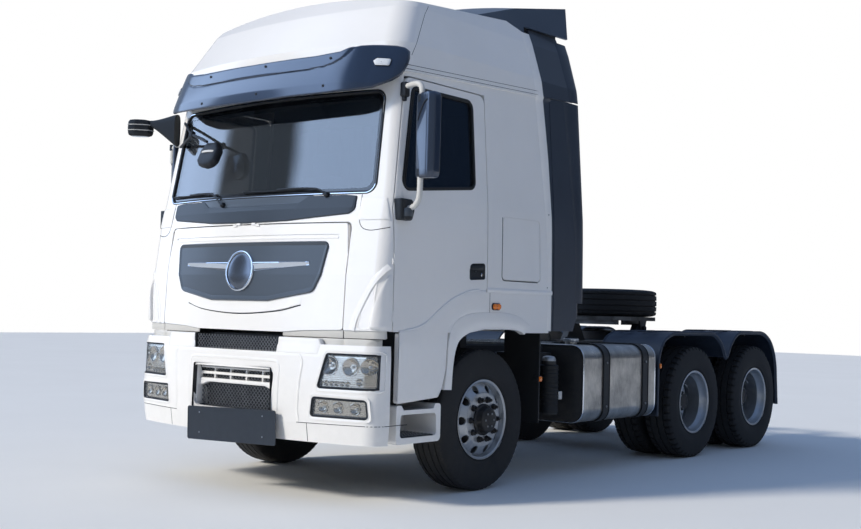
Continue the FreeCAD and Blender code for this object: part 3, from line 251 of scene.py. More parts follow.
def piece(name, parts, body, finishNames, replaces=(), sharp=32, recalc=True, mirror=False):
    # one Blender object from parts of (points, faces, finish index), at the origin with its place in its
    # mesh; "mirror" makes the right side's copy of parts drawn for the left
    if mirror:
        parts = [mirrored(p) for p in parts]
    points = np.concatenate([p[0] for p in parts])
    points = (points + [0, rowShift, 0]) / 1000.0
    loops, sizes, slots, base = [], [], [], 0
    for part in parts:
        index = part[2] if len(part) > 2 else 0
        for group in part[1]:
            loops.append((group + base).ravel())
            sizes.append(np.full(len(group), group.shape[1]))
            slots.append(np.full(len(group), index))
        base += len(part[0])
    loops, sizes, slots = (np.concatenate(x).astype(np.int32) for x in (loops, sizes, slots))
    mesh = bpy.data.meshes.new(name)
    mesh.vertices.add(len(points))
    mesh.vertices.foreach_set("co", points.astype(np.float32).ravel())
    mesh.loops.add(len(loops))
    mesh.loops.foreach_set("vertex_index", loops)
    mesh.polygons.add(len(sizes))
    mesh.polygons.foreach_set("loop_start", np.concatenate([[0], np.cumsum(sizes)[:-1]]).astype(np.int32))
    mesh.polygons.foreach_set("material_index", slots)
    mesh.update(calc_edges=True)
    mesh.validate()
    if recalc:
        work = bmesh.new()
        work.from_mesh(mesh)
        bmesh.ops.remove_doubles(work, verts=work.verts, dist=1e-6)
        bmesh.ops.recalc_face_normals(work, faces=work.faces)
        work.to_mesh(mesh)
        work.free()
    mesh.shade_smooth()
    if sharp < 180:
        mesh.set_sharp_from_angle(angle=math.radians(sharp))
    for finishName in finishNames.split():
        mesh.materials.append(mat[finishName])
    made = bpy.data.objects.new(name, mesh)
    bpy.context.scene.collection.objects.link(made)
    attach(made, body)
    if replaces:
        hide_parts(*([replaces] if isinstance(replaces, str) else replaces))
    return made


bothSides = ((1, "left"), (-1, "right"))


# finishes

def linear(code):
    # sRGB hex to the linear colour that the shader wants
    value = np.array([int(code[i:i + 2], 16) for i in (1, 3, 5)]) / 255.0
    return (*np.where(value <= 0.04045, value / 12.92, ((value + 0.055) / 1.055) ** 2.4), 1.0)


def addNode(tree, kind, inputs=None, stops=None, **settings):
    # one node with its settings; an input is a value, or another node's output to link
    node = tree.nodes.new("ShaderNode" + kind)
    for key, value in settings.items():
        setattr(node, key, value)
    for key, value in (inputs or {}).items():
        if isinstance(value, bpy.types.NodeSocket):
            tree.links.new(value, node.inputs[key])
        else:
            node.inputs[key].default_value = value
    if stops:
        ramp = node.color_ramp.elements
        while len(ramp) < len(stops):
            ramp.new(0.5)
        for element, (place, colour) in zip(ramp, stops):
            element.position = place
            element.color = linear(colour) if isinstance(colour, str) else (colour, colour, colour, 1)
    return node


def noise(tree, place, scale, detail, rough=0.5):
    return addNode(tree, "TexNoise", {"Vector": place, "Scale": scale, "Detail": detail,
                                      "Roughness": rough}).outputs["Fac"]


def ranged(tree, value, low, high, start=0.0, end=1.0, **settings):
    # the value's range from low to high stretched to the range from start to end, and held there
    return addNode(tree, "MapRange", {"Value": value, "From Min": low, "From Max": high, "To Min": start,
                                      "To Max": end}, **settings).outputs[0]


def blended(tree, factor, first, second):
    # two colours, each a code or another node's output
    first, second = (linear(c) if isinstance(c, str) else c for c in (first, second))
    return addNode(tree, "Mix", {"Factor": factor, 6: first, 7: second}, data_type="RGBA").outputs[2]


def maths(tree, operation, *values):
    return addNode(tree, "Math", dict(enumerate(values)), operation=operation).outputs[0]


def objectPlace(tree):
    return addNode(tree, "TexCoord").outputs["Object"]


def newMaterial(name):
    material = bpy.data.materials.new(name)
    material.use_nodes = True
    material.node_tree.nodes.clear()
    return material, material.node_tree


def finish(name, base, second, patch=400, spread=0.35, rough=0.5, roughSpread=0.1, grain=3.0, depth=0.1,
           grainKind="noise", metallic=0.0, coat=0.0, coatRough=0.04, ior=1.5, dust=0.0, dustTop=1200.0,
           dustColour="#8f887b", streak=None, sheen=0.0, alpha=1.0, wearColour=None, emission=None):
    # a surface with slow colour patches, a fine relief of "grain" mm, gloss that varies with both, and
    # road dust that thickens towards the ground
    material, tree = newMaterial(name)
    place = objectPlace(tree)
    wide = noise(tree, place, 1000.0 / patch, 4.0, 0.6)
    colour = blended(tree, ranged(tree, wide, 0.35, 0.68, end=spread), base, second)
    finePlace = place
    if streak:  # brushing or drawing lines along one axis
        finePlace = addNode(tree, "Mapping", {"Vector": place, "Scale": streak}).outputs[0]
    if grainKind == "cells":
        fine = addNode(tree, "TexVoronoi", {"Vector": finePlace, "Scale": 1000.0 / grain}).outputs["Distance"]
    else:
        fine = noise(tree, finePlace, 1000.0 / grain, 3.0, 0.55)
    bump = addNode(tree, "Bump", {"Height": fine, "Strength": 0.6, "Distance": depth / 1000.0})
    gloss = maths(tree, "MULTIPLY_ADD", wide, roughSpread, rough - roughSpread / 2)
    if wearColour:  # bare or pale scuffs where the fine and the wide noise meet
        scuff = noise(tree, place, 9.0, 8.0, 0.72)
        colour = blended(tree, ranged(tree, scuff, 0.62, 0.7, end=0.55), colour, wearColour)
    if dust:
        height = addNode(tree, "SeparateXYZ", {0: place}).outputs["Z"]
        low = ranged(tree, height, dustTop / 1000.0, 0.25, end=dust)
        film = maths(tree, "MULTIPLY", low, ranged(tree, noise(tree, place, 16.0, 6.0, 0.7), 0.3, 0.75))
        colour = blended(tree, film, colour, dustColour)
        gloss = maths(tree, "MULTIPLY_ADD", film, 0.4, gloss)
    shader = addNode(tree, "BsdfPrincipled", {
        "Base Color": colour, "Roughness": gloss, "Metallic": metallic, "Normal": bump.outputs[0],
        "Coat Weight": coat, "Coat Roughness": coatRough, "IOR": ior, "Sheen Weight": sheen, "Alpha": alpha})
    if emission:
        shader.inputs["Emission Color"].default_value = linear(emission[0])
        shader.inputs["Emission Strength"].default_value = emission[1]
    addNode(tree, "OutputMaterial", {"Surface": shader.outputs[0]})
    return material


finishes = {
    # acrylic enamel on pressed steel: near white, wet gloss, faint orange peel, thin dust low down
    "whiteEnamel": dict(base="#efedea", second="#e6e4e0", patch=900, spread=0.5, rough=0.32, roughSpread=0.08,
                        grain=9, depth=0.05, coat=0.7, coatRough=0.05, dust=0.1, dustTop=1500),
    # metallic slate lacquer on a moulded visor: blue-grey flake under clear coat
    "slateLacquer": dict(base="#2f3b4e", second="#293445", patch=700, spread=0.6, rough=0.3, roughSpread=0.06,
                         grain=5, depth=0.03, metallic=0.45, coat=1.0, coatRough=0.04),
    # glass fibre fairing, satin slate paint
    "slateSatin": dict(base="#262e3a", second="#2d3643", patch=600, spread=0.7, rough=0.42, roughSpread=0.14,
                       grain=7, depth=0.08, coat=0.25, coatRough=0.15, dust=0.25, dustTop=2200,
                       dustColour="#5d6068"),
    "slateGloss": dict(base="#3b4655", second="#424d5d", patch=600, spread=0.7, rough=0.36, roughSpread=0.12,
                       grain=7, depth=0.06, coat=0.4, coatRough=0.12),
    # polypropylene mudguards: dark blue-black, faintly ribbed skin, dusty
    "mudguardPolypropylene": dict(base="#1e2837", second="#283344", patch=350, spread=0.7, rough=0.5,
                                  roughSpread=0.18, grain=4, depth=0.15, dust=0.35, dustTop=1500,
                                  dustColour="#565a60"),
    # grained black ABS; also painted shade on the sheets behind the bumper's meshes
    "grainedBlack": dict(base="#15171a", second="#1d2024", patch=300, spread=0.6, rough=0.55,
                         roughSpread=0.12, grain=3.2, depth=0.25, grainKind="cells", dust=0.2, dustTop=1500,
                         dustColour="#4b4a47"),
    # smooth dark grey ABS of the band and the panel below it
    "greyAbs": dict(base="#3c434b", second="#444b54", patch=500, spread=0.5, rough=0.4, roughSpread=0.1,
                    grain=2.6, depth=0.06, coat=0.2, coatRough=0.12),
    # the cowl band: darker, nearly black-grey ABS with a satin face
    "bandAbs": dict(base="#24292f", second="#2b3036", patch=420, spread=0.6, rough=0.42, roughSpread=0.12,
                    grain=2.6, depth=0.08, coat=0.1, coatRough=0.2),
    # fired black border of the windscreen
    "fritCeramic": dict(base="#0b0c0e", second="#111316", patch=60, spread=0.5, rough=0.2, roughSpread=0.08,
                        grain=8, depth=0.02, coat=1.0, coatRough=0.03),
    # wiper arms, satin black over pressed steel
    "wiperSteel": dict(base="#1a1c1f", second="#24262a", patch=80, spread=0.6, rough=0.42, roughSpread=0.15,
                       grain=3, depth=0.08, metallic=0.3),
    # flattened wire mesh, grey zinc under a worn black film
    "meshWire": dict(base="#77787a", second="#55575a", patch=90, spread=0.8, rough=0.45, roughSpread=0.15,
                     grain=4, depth=0.1, metallic=0.4),
    # pale grey powder coat on the mirror tubes; also painted shade on the bumper's filler strips and the
    # lower returns
    "paleTube": dict(base="#cfcdc8", second="#c2c1bd", patch=200, spread=0.5, rough=0.38, roughSpread=0.12,
                     grain=4, depth=0.06, coat=0.2, coatRough=0.2),
    # silvered mirror glass
    "mirrorGlass": dict(base="#cfd6dc", second="#c3cad2", patch=300, spread=0.3, rough=0.04, roughSpread=0.03,
                        grain=40, depth=0.01, metallic=1.0),
    # EPDM rubber seals; also painted shade in the lid's slot and along the side's creases
    "sealRubber": dict(base="#0c0d0f", second="#16181a", patch=120, spread=0.5, rough=0.62, roughSpread=0.15,
                       grain=4, depth=0.1),
    # tyre rubber: charcoal, dull, with a dry brown bloom and fine scuffs
    "tyreRubber": dict(base="#17181a", second="#232426", patch=160, spread=0.8, rough=0.78, roughSpread=0.16,
                       grain=5, depth=0.35, dust=0.3, dustTop=1060, dustColour="#4d4842",
                       wearColour="#34332f"),
    # electrophoretic black on pressed chassis steel; also painted shade and dark reflection on the fuel
    # tank's ends
    "chassisEnamel": dict(base="#17191c", second="#24262a", patch=260, spread=0.8, rough=0.5, roughSpread=0.2,
                          grain=6, depth=0.2, dust=0.5, dustTop=1300, dustColour="#57524a",
                          wearColour="#2e2d2c"),
    # bare machined steel, worn bright, with a film of grease
    "barePlate": dict(base="#6d6e70", second="#4b4a48", patch=180, spread=0.9, rough=0.42, roughSpread=0.25,
                      grain=12, depth=0.2, metallic=0.9, streak=(1, 8, 1), wearColour="#38332d"),
    # grey cast iron and aluminium of the drive train
    "castIron": dict(base="#3b3c3d", second="#52514e", patch=140, spread=0.8, rough=0.62, roughSpread=0.2,
                     grain=5, depth=0.5, metallic=0.5, dust=0.4, dustTop=1300, dustColour="#5a544b"),
    # silver lacquer on steel rims
    "rimSilver": dict(base="#b9bcbf", second="#a3a6a9", patch=200, spread=0.6, rough=0.36, roughSpread=0.14,
                      grain=3.5, depth=0.08, metallic=0.75, coat=0.3, coatRough=0.15, dust=0.25, dustTop=900,
                      dustColour="#6f6a63"),
    # zinc-plated fasteners
    "zincSteel": dict(base="#9a9c9e", second="#77797b", patch=60, spread=0.8, rough=0.38, roughSpread=0.2,
                      grain=3, depth=0.1, metallic=0.9, dust=0.2, dustTop=900),
    # mirror chrome trim
    "chrome": dict(base="#dfe3e8", second="#cfd4da", patch=300, spread=0.4, rough=0.09, roughSpread=0.05,
                   grain=20, depth=0.03, metallic=1.0),
    # black lacquer on hubs and wheel nuts, oily and a little worn
    "hubBlack": dict(base="#1b1c1f", second="#2c2b2a", patch=60, spread=0.9, rough=0.4, roughSpread=0.2,
                     grain=4, depth=0.25, metallic=0.3, dust=0.35, dustTop=900, dustColour="#575148"),
    # vapour-coated reflector bowls
    "reflectorSilver": dict(base="#dcd2c0", second="#c4bcae", patch=80, spread=0.5, rough=0.12,
                            roughSpread=0.06, grain=14, depth=0.1, metallic=1.0),
    # woven seat fabric and moulded foam in the cab
    "seatWeave": dict(base="#3a3d42", second="#2b2e33", patch=30, spread=0.8, rough=0.85, roughSpread=0.1,
                      grain=4, depth=0.6, sheen=0.3),
    # needled felt of the cab's lining, near black
    "liningFelt": dict(base="#1b1d21", second="#24262b", patch=120, spread=0.8, rough=0.92, roughSpread=0.06,
                       grain=3, depth=0.4, sheen=0.15),
    # close-woven blackout cloth of the bunk curtain
    "curtainCloth": dict(base="#2b3038", second="#353b45", patch=260, spread=0.7, rough=0.88,
                         roughSpread=0.08, grain=2.5, depth=0.2, sheen=0.25),
    # striped ticking of the mattress
    "mattressTicking": dict(base="#5d636c", second="#484d56", patch=50, spread=0.9, rough=0.9,
                            roughSpread=0.06, grain=4, depth=0.5, streak=(1, 0.1, 1)),
    # warm grey vinyl of the dashboard and trim
    "dashVinyl": dict(base="#8b8275", second="#7a7267", patch=220, spread=0.5, rough=0.6, roughSpread=0.12,
                      grain=2.5, depth=0.2, grainKind="cells"),
    # orange polycarbonate markers
    "amberLens": dict(base="#d9761a", second="#c4650f", patch=30, spread=0.6, rough=0.16, roughSpread=0.08,
                      grain=6, depth=0.5, grainKind="cells", coat=0.8, emission=("#d9761a", 0.12)),
    # red polycarbonate tail lamps
    "redLens": dict(base="#8f1218", second="#6f0c12", patch=30, spread=0.6, rough=0.16, roughSpread=0.08,
                    grain=6, depth=0.5, grainKind="cells", coat=0.8),
    # frosted white marker lens
    "whiteLens": dict(base="#e9edf0", second="#d3d9df", patch=25, spread=0.6, rough=0.18, roughSpread=0.08,
                      grain=6, depth=0.4, grainKind="cells", coat=0.8),
    # powder-coated sheet of the blank board, dark slate with a fine pebble
    "slatePowder": dict(base="#0f141b", second="#131920", patch=160, spread=0.6, rough=0.5, roughSpread=0.12,
                        grain=5, depth=0.12, coat=0.15, coatRough=0.2, dust=0.2, dustTop=800,
                        dustColour="#4c535c"),
    # dark chrome of the blank disc's face
    "darkChrome": dict(base="#6a6f77", second="#50555d", patch=120, spread=0.6, rough=0.22, roughSpread=0.1,
                       grain=16, depth=0.05, metallic=0.9),
    # clear polycarbonate covers: mostly seen through, with a hard gloss
    "clearCover": dict(base="#7d848c", second="#8d949b", patch=60, spread=0.5, rough=0.05, roughSpread=0.04,
                       grain=18, depth=0.05, ior=1.58, coat=0.6, alpha=0.13),
}
mat = {name: finish(name, **spec) for name, spec in finishes.items()}


def brushedAluminium(name, spec):
    # rolled sheet: bright, with fine lines round the tank, cloudy film and rub marks
    material, tree = newMaterial(name)
    place = objectPlace(tree)
    along = addNode(tree, "Mapping", {"Vector": place, "Scale": spec["stretch"]}).outputs[0]
    lines = noise(tree, along, 1000 / spec["line"], 5.0)
    cloud = noise(tree, place, 1000 / spec["cloud"], 6.0, 0.65)
    both = maths(tree, "MULTIPLY_ADD", lines, 0.5, cloud)
    colour = blended(tree, ranged(tree, both, 0.55, 0.95), spec["dark"], spec["light"])
    gloss = ranged(tree, both, 0.5, 1.0, 0.42, 0.26)
    bump = addNode(tree, "Bump", {"Height": lines, "Strength": 0.3, "Distance": 0.0002})
    shader = addNode(tree, "BsdfPrincipled", {
        "Base Color": colour, "Metallic": 0.95, "Roughness": gloss, "Normal": bump.outputs[0],
        "Anisotropic": 0.4})
    addNode(tree, "OutputMaterial", {"Surface": shader.outputs[0]})
    return material


mat["brushedAluminium"] = brushedAluminium("brushedAluminium", {
    "line": 3.0, "stretch": (0.05, 1.0, 0.05), "cloud": 240, "dark": "#8f8d8a", "light": "#c9c6c0"})


def tintedGlass(name, spec):
    # laminated glass: dark see-through tint, hard reflections, a dusty film that varies the gloss in patches
    material, tree = newMaterial(name)
    smear = noise(tree, objectPlace(tree), 2.2, 5.0)
    film = ranged(tree, smear, 0.35, 0.7, spec["rough"], spec["rough"] + 0.03)
    tint = blended(tree, smear, spec["tint"], spec["tint2"])
    ripple = addNode(tree, "Bump", {"Height": smear, "Strength": 0.15, "Distance": 0.002})
    shader = addNode(tree, "BsdfPrincipled", {
        "Base Color": tint, "Roughness": film, "Normal": ripple.outputs[0], "IOR": spec["ior"],
        "Alpha": spec["alpha"], "Coat Weight": 1.0, "Coat Roughness": 0.02, "Coat IOR": spec["coatIor"]})
    addNode(tree, "OutputMaterial", {"Surface": shader.outputs[0]})
    return material


mat["windscreenGlass"] = tintedGlass("windscreenGlass", {
    "tint": "#20262c", "tint2": "#2b3239", "rough": 0.03, "ior": 1.52, "coatIor": 2.3, "alpha": 0.62})
mat["doorGlass"] = tintedGlass("doorGlass", {
    "tint": "#10151b", "tint2": "#171d24", "rough": 0.03, "ior": 1.52, "coatIor": 1.8, "alpha": 0.7})
print("finishes made:", len(mat))


# CAD nodes that stay, each with its finish

kept = {
    "whiteEnamel": "cab_shell cab_roof front_lid door_left door_right front_bumper lower_steps",
    "slateLacquer": "sun_visor",
    "slateSatin": "side_fairings",
    "slateGloss": "roof_deflector",
    "mudguardPolypropylene": "rear_mudguards",
    "grainedBlack": "bumper_grilles mirror_left mirror_right corner_mirrors arch_liners lamp_units",
    "greyAbs": "cowl_band grille_panel",
    "tyreRubber": "front_tyre_left front_tyre_right drive1_tyres_left drive1_tyres_right "
                  "drive2_tyres_left drive2_tyres_right spare_tyre",
    "rimSilver": "front_rim_left front_rim_right drive1_rims_left drive1_rims_right drive2_rims_left "
                 "drive2_rims_right spare_rim",
    "chassisEnamel": "frame_rail_left frame_rail_right frame_crossmembers cab_hangers cab_mounts "
                     "bumper_stays front_axle drive_axles leaf_springs knuckle_left knuckle_right tie_rod "
                     "coupling_base battery_box tank_straps air_units",
    "barePlate": "coupling_plate",
    "brushedAluminium": "fuel_tank exhaust_box deck_plate",
    "castIron": "powertrain",
    "redLens": "tail_lamps",
    "clearCover": "lamp_lenses",
    "windscreenGlass": "windscreen",
    "doorGlass": "door_glass_left door_glass_right",
    "dashVinyl": "cab_interior",
}
for finishName, members in kept.items():
    for member in members.split():
        mesh = nodes[member].data
        mesh.materials.clear()
        mesh.materials.append(mat[finishName])
        mesh.polygons.foreach_set("material_index", np.zeros(len(mesh.polygons), np.int32))
print("CAD nodes dressed")


# wheels

tyreShapes = {
    "front": {"width": 300, "columns": [0, 0.05, 0.4, 0.45], "pitches": 66, "grooves": (-84, -29, 29, 84),
              "grooveWidth": 10, "grooveDepth": 14, "wave": 3.0, "notch": (0.42, 1.0), "notchDepth": 4.0,
              "notchZone": (104, 118)},
    "drive": {"width": 290, "columns": [0, 0.06, 0.27, 0.33], "pitches": 46, "grooves": (-70, 0, 70),
              "grooveWidth": 12, "grooveDepth": 17, "wave": 7.0, "notch": (0.05, 0.3), "notchDepth": 17.0,
              "notchZone": (74, 130)},
}


def tyre(centre, axis, spec):
    # radius as a function of the turn and the place across: a round-shouldered section turned round the
    # axle, sunk by the tread's grooves, which weave with the turn, and by its notches
    h, top, seat = spec["width"] / 2, 530.0, 286.0
    side = spline([(h * 0.83, top - 8), (h * 0.9, top - 25), (h * 0.96, top - 61), (h, top - 128),
                   (h * 0.985, top - 170), (h * 0.93, top - 205), (h * 0.86, top - 224),
                   (h * 0.83, seat + 6), (h * 0.82, seat)], 3)
    ring = np.exp(-((side[:, 1] - (top - 74)) / 3.5) ** 2) * 2.5 + np.exp(-((side[:, 1] - 322) / 5) ** 2) * 4
    side[:, 0] += ring
    w, steps = spec["grooveWidth"] / 2, []
    for g in spec["grooves"]:
        steps += [(g - w - 1, 0), (g - w + 1, 1), (g + w - 1, 1), (g + w + 1, 0)]
    low, high = spec["notchZone"]
    steps += [(s * v, 0) for s in (-1, 1) for v in (low, low + 2, (low + high) / 2)]
    steps = np.array(sorted(steps))
    crown = np.stack([steps[:, 0], top - 6 * (np.abs(steps[:, 0]) / (h * 0.84)) ** 2.2], 1)
    profile = np.concatenate([(side * [-1, 1])[::-1], crown, side])
    sunk = np.concatenate([np.zeros(len(side)), steps[:, 1], np.zeros(len(side))])
    across = np.abs(profile[:, 0])
    notched = ((across > low + 1) & (profile[:, 1] > top - 30)) * 1.0
    turn = (np.arange(spec["pitches"])[:, None] + np.array(spec["columns"])[None]).ravel()
    phase = turn % 1.0
    inNotch = ((phase > spec["notch"][0] - 0.02) & (phase < spec["notch"][1])) * 1.0
    depth = np.maximum(sunk[:, None] * spec["grooveDepth"],
                       notched[:, None] * inNotch[None] * spec["notchDepth"])
    onCrown = (across < low + 1) & (profile[:, 1] > top - 30)
    sway = np.sin(2 * np.pi * phase)[None] * (onCrown * spec["wave"])[:, None]
    angle = turn[None] * (2 * np.pi / spec["pitches"])
    points = turned(profile[:, :1] + sway, profile[:, 1:] - depth, angle, axis)
    return hoops(points + np.asarray(centre, float), closeRows=True)


def wheelDisc(centre, axis, outward, plane, edge, spec):
    # a pressed disc with round hand holes: each tenth of it is a web of lines from its hole's rim to its
    # border, and the height along the axle follows the radius; the back skin is the same, one wall behind
    count, k = spec["holes"], 28
    half = np.pi / count
    a = around(k)
    reach = spec["holeAt"]
    hole = np.stack([reach + spec["hole"] * np.cos(a), spec["hole"] * np.sin(a) / reach], 1)
    rOut, rIn = spec["outer"], spec["inner"]
    stretch = np.maximum(np.abs(np.cos(a)) / np.where(np.cos(a) > 0, rOut - reach, reach - rIn),
                         np.abs(np.sin(a)) / (half * reach))
    border = np.stack([reach + np.cos(a) / stretch, np.sin(a) / stretch / reach], 1)
    t = np.array([0, 0.02, 0.08, 0.25, 0.5, 0.75, 1.0])[:, None, None]
    web = hole[None] * (1 - t) + border[None] * t
    rim = np.interp(t[:, 0, 0], [0, 0.02, 0.08], [5.0, 1.5, 0])
    profile = np.array(spec["profile"])
    parts = []
    for wall, sign in ((0.0, 1), (spec["wall"], -1)):
        height = np.interp(web[..., 0], profile[:, 0], profile[:, 1] * (plane - edge) + edge)
        height = height - wall - rim[:, None] * (1 if wall == 0 else -0.2)
        for s in range(count):
            points = turned(outward * height, web[..., 0], web[..., 1] + 2 * half * s, axis)
            parts.append(hoops(points + centre, flip=sign < 0))
    top = np.interp(hole[:, 0], profile[:, 0], profile[:, 1] * (plane - edge) + edge)
    for s in range(count):  # the hole's inner wall
        rows = [turned(outward * (top - drop), hole[:, 0], hole[:, 1] + 2 * half * s, axis) + centre
                for drop in (5.0, spec["wall"] - 1.0)]
        parts.append(hoops(rows))
    return parts


def nutRing(centre, outward, at, ring, spec):
    # one nut with its washer and stud, repeated round a circle: a six-sided profile turned about its axis
    parts = []
    for i in range(10):
        a = 2 * np.pi * i / 10
        spot = np.asarray(centre, float) + [0, ring * math.cos(a), ring * math.sin(a)]
        for profile, sides in ((spec["washer"], 16), (spec["nut"], 6), (spec["stud"], 10)):
            shape = [(outward * (at + x), r) for x, r in profile]
            parts.append(spun(shape, spot, "x", sides, start=a))
    return parts


discShape = {"holes": 10, "hole": 29, "holeAt": 232, "outer": 268, "inner": 196, "wall": 12,
             "profile": [(190, 1.0), (198, 0.985), (206, 0.93), (216, 0.83), (250, 0.33), (262, 0.12),
                         (275, 0.0)]}
nutShape = {"washer": [(-2, 0.5), (-2, 24), (3, 25), (6, 22), (6, 0.5)],
            "nut": [(5, 19), (6, 21), (24, 21), (27, 18), (27, 8)],
            "stud": [(26, 0.5), (26, 11), (44, 11), (46, 9), (46, 0.5)]}


def barrel(centre, axis, outward, width):
    # rim barrel with lips, bead seats and a dropped centre: one closed profile turned round the axle
    h = width / 2 * 0.82
    outer = [(h + 12, 300), (h + 15, 297), (h + 14, 288), (h + 8, 280), (h - 16, 274), (h - 40, 266),
             (h - 62, 250), (-h + 62, 250), (-h + 40, 266), (-h + 16, 274), (-h - 8, 280), (-h - 14, 288),
             (-h - 15, 297), (-h - 12, 300), (-h - 6, 297), (-h - 3, 289), (-h + 2, 286), (-h + 30, 283),
             (-h + 60, 259), (h - 60, 259), (h - 30, 283), (h - 2, 286), (h + 3, 289), (h + 6, 297)]
    return spun([(outward * a, r) for a, r in outer], centre, axis, 72, close=True)


def ringWall(points, centre, axis, outward, sides=48):
    return spun([(outward * a, r) for a, r in points], centre, axis, sides)


axleY = {"front": 0, "drive1": 3300, "drive2": 4650}
wheelX, wheelZ = (1025.0, 1102.0, 757.0), 530.0  # front, outer and inner drive wheels; the axles' height
wheelShapes = {
    # disc, flange, hub and drum as (along the axle, radius); bolts as count, place along and ring's radius
    "front": {"plane": 140.0, "edge": 96.0, "flange": [(140, 197), (140, 108), (129, 108), (129, 197)],
              "hub": [(136, 118), (150, 118), (153, 114), (157, 104), (170, 98), (196, 92), (201, 86),
                      (203, 72), (205, 66), (205, 0.5)],
              "bolts": (6, 203, 52), "bolt": [(0, 9), (5, 9), (6, 7), (6, 0.5)],
              "drum": [(30, 205), (38, 208), (118, 207), (127, 198), (127, 100)]},
    "drive": {"plane": -160.0, "edge": -98.0, "flange": [(-160, 197), (-160, 108)],
              "hub": [(-164, 128), (-140, 126), (-136, 112), (-60, 104), (-20, 98), (2, 92), (8, 84),
                      (16, 78), (20, 60), (20, 0.5)],
              "bolts": (8, 8, 74), "bolt": [(0, 8), (12, 8), (13, 6), (13, 0.5)],
              "drum": [(160, 196), (150, 205), (20, 207), (0, 204)]}}


def rimSet(name, side, body, node, axle):
    # paints: 0 silver rim, 1 black hub and nuts, 2 zinc weights and valve, 3 cast drum
    kind = "front" if axle == "front" else "drive"
    spec, width = wheelShapes[kind], tyreShapes[kind]["width"]
    front, twinOuter, twinInner = wheelX
    outer = np.array([side * (front if kind == "front" else twinOuter), axleY[axle], wheelZ])
    discs = [(outer, side)]
    if kind == "drive":
        discs.append((outer - [side * (twinOuter - twinInner), 0, 0], -side))
    parts = [barrel(centre, "x", side, width) for centre, out in discs]
    for centre, out in discs:
        parts += wheelDisc(centre, "x", out, spec["plane"], spec["edge"], discShape)
        parts.append(ringWall(spec["flange"], centre, "x", out, 60))
    parts += [painted(p, 1) for p in nutRing(outer, side, spec["plane"], 152, nutShape)]
    parts.append(painted(ringWall(spec["hub"], outer, "x", side), 1))
    count, along, ring = spec["bolts"]
    for i in range(count):
        a = 2 * np.pi * i / count
        spot = outer + [side * along, ring * math.cos(a), ring * math.sin(a)]
        parts.append(painted(spun([(side * x, r) for x, r in spec["bolt"]], spot, "x", 6), 2))
    parts.append(painted(ringWall(spec["drum"], discs[-1][0], "x", side), 3))
    lip = width / 2 * 0.82 + 10
    weight = -0.72
    spot = [lip * side, 300 * math.cos(weight), 300 * math.sin(weight)]
    parts.append(painted(moved(softBox([-7, -9, -30], [7, 5, 30], 4, 2), outer + spot,
                               turnMatrix("x", math.degrees(weight))), 2))
    stem = [(lip - 26, 262), (lip - 4, 252), (lip + 4, 236), (lip + 6, 214)]
    path = [outer + [side * a, r * math.cos(2.4), r * math.sin(2.4)] for a, r in stem]
    parts.append(painted(tube(path, 4.5, 8), 2))
    piece(name, parts, body, "rimSilver hubBlack zincSteel castIron",
          node, recalc=False, sharp=34)


for side, label in bothSides:
    rimSet("rimFront_" + label, side, "front_wheel_" + label, "front_rim_" + label, "front")
    piece("tyreFront_" + label, [tyre((side * wheelX[0], 0, wheelZ), "x", tyreShapes["front"])],
          "front_wheel_" + label, "tyreRubber", "front_tyre_" + label, sharp=40)
    for axle in ("drive1", "drive2"):
        body = axle + "_wheels_" + label
        rimSet("rims_" + axle + "_" + label, side, body, axle + "_rims_" + label, axle)
        pair = [tyre((side * x, axleY[axle], wheelZ), "x", tyreShapes["drive"]) for x in wheelX[1:]]
        piece("tyres_" + axle + "_" + label, pair, body, "tyreRubber",
              axle + "_tyres_" + label, sharp=40)

spareAt = np.array([0, 3680.0, 1470.0])
piece("tyreSpare", [tyre(spareAt, "z", dict(tyreShapes["front"], width=280))], "coupling",
      "tyreRubber", "spare_tyre", sharp=40)
spareParts = [barrel(spareAt, "z", 1, 280)] + wheelDisc(spareAt, "z", 1, 112.0, 80.0, discShape)
spareParts += [ringWall([(112, 197), (112, 142), (100, 142), (100, 197)], spareAt, "z", 1, 60)]
piece("rimSpare", spareParts, "coupling", "rimSilver", "spare_rim", recalc=False)
print("wheels built")


# wrapped faces of the cab, bumper and visor

bow = 4600.0  # mm, radius of the front's bow in plan
forms = {
    # rows of height, half width, front at the middle; then the radius of the corner
    "cab": {"levels": [(1150, 1250, -1430), (1560, 1250, -1412), (1930, 1245, -1364), (2110, 1240, -1326),
                       (3110, 1166, -1146)], "corner": 110},
    "roof": {"levels": [(2950, 1196, -1236), (3200, 1160, -1190), (3500, 1072, -990), (3660, 1010, -838),
                        (3860, 930, -640)], "corner": 170},
    "bumper": {"levels": [(410, 1238, -1454), (545, 1250, -1474), (740, 1250, -1480), (1000, 1250, -1474),
                          (1095, 1244, -1456)], "corner": 130},
    "visor": {"levels": [(2700, 1230, -1470), (2880, 1224, -1425), (3200, 1194, -1303)], "corner": 540},
}


def sized(form, z, off):
    # half width, front, corner radius and how far round the corner starts, at each height
    levels = np.array(forms[form]["levels"], float)
    half = np.interp(z, levels[:, 0], levels[:, 1]) + off
    front = np.interp(z, levels[:, 0], levels[:, 2]) - off
    corner = forms[form]["corner"] + off + 0 * half
    lean = 0.24 + 0 * half
    for _ in range(5):
        lean = np.arcsin((half - corner + corner * np.sin(lean)) / bow)
    return half, front, corner, lean


def wrapped(form, s, z, off=0.0):
    # s mm sideways from the middle: along the bow's arc, round the corner's arc, then back along the side
    s, z, off = np.broadcast_arrays(np.asarray(s, float), np.asarray(z, float), np.asarray(off, float))
    half, front, corner, lean = sized(form, z, off)
    far, a = np.abs(s), bow * lean
    b = a + corner * (np.pi / 2 - lean)
    turn = np.clip(lean + (far - a) / corner, lean, np.pi / 2)
    start = half - corner + corner * np.sin(lean)
    sideY = front + bow - np.sqrt(bow ** 2 - start ** 2) + corner * np.cos(lean)
    x = np.where(far < a, bow * np.sin(far / bow), half - corner + corner * np.sin(turn))
    y = np.where(far < a, front + bow * (1 - np.cos(far / bow)), sideY - corner * np.cos(turn))
    return np.stack([x * np.sign(s), y + np.maximum(far - b, 0), z], -1)


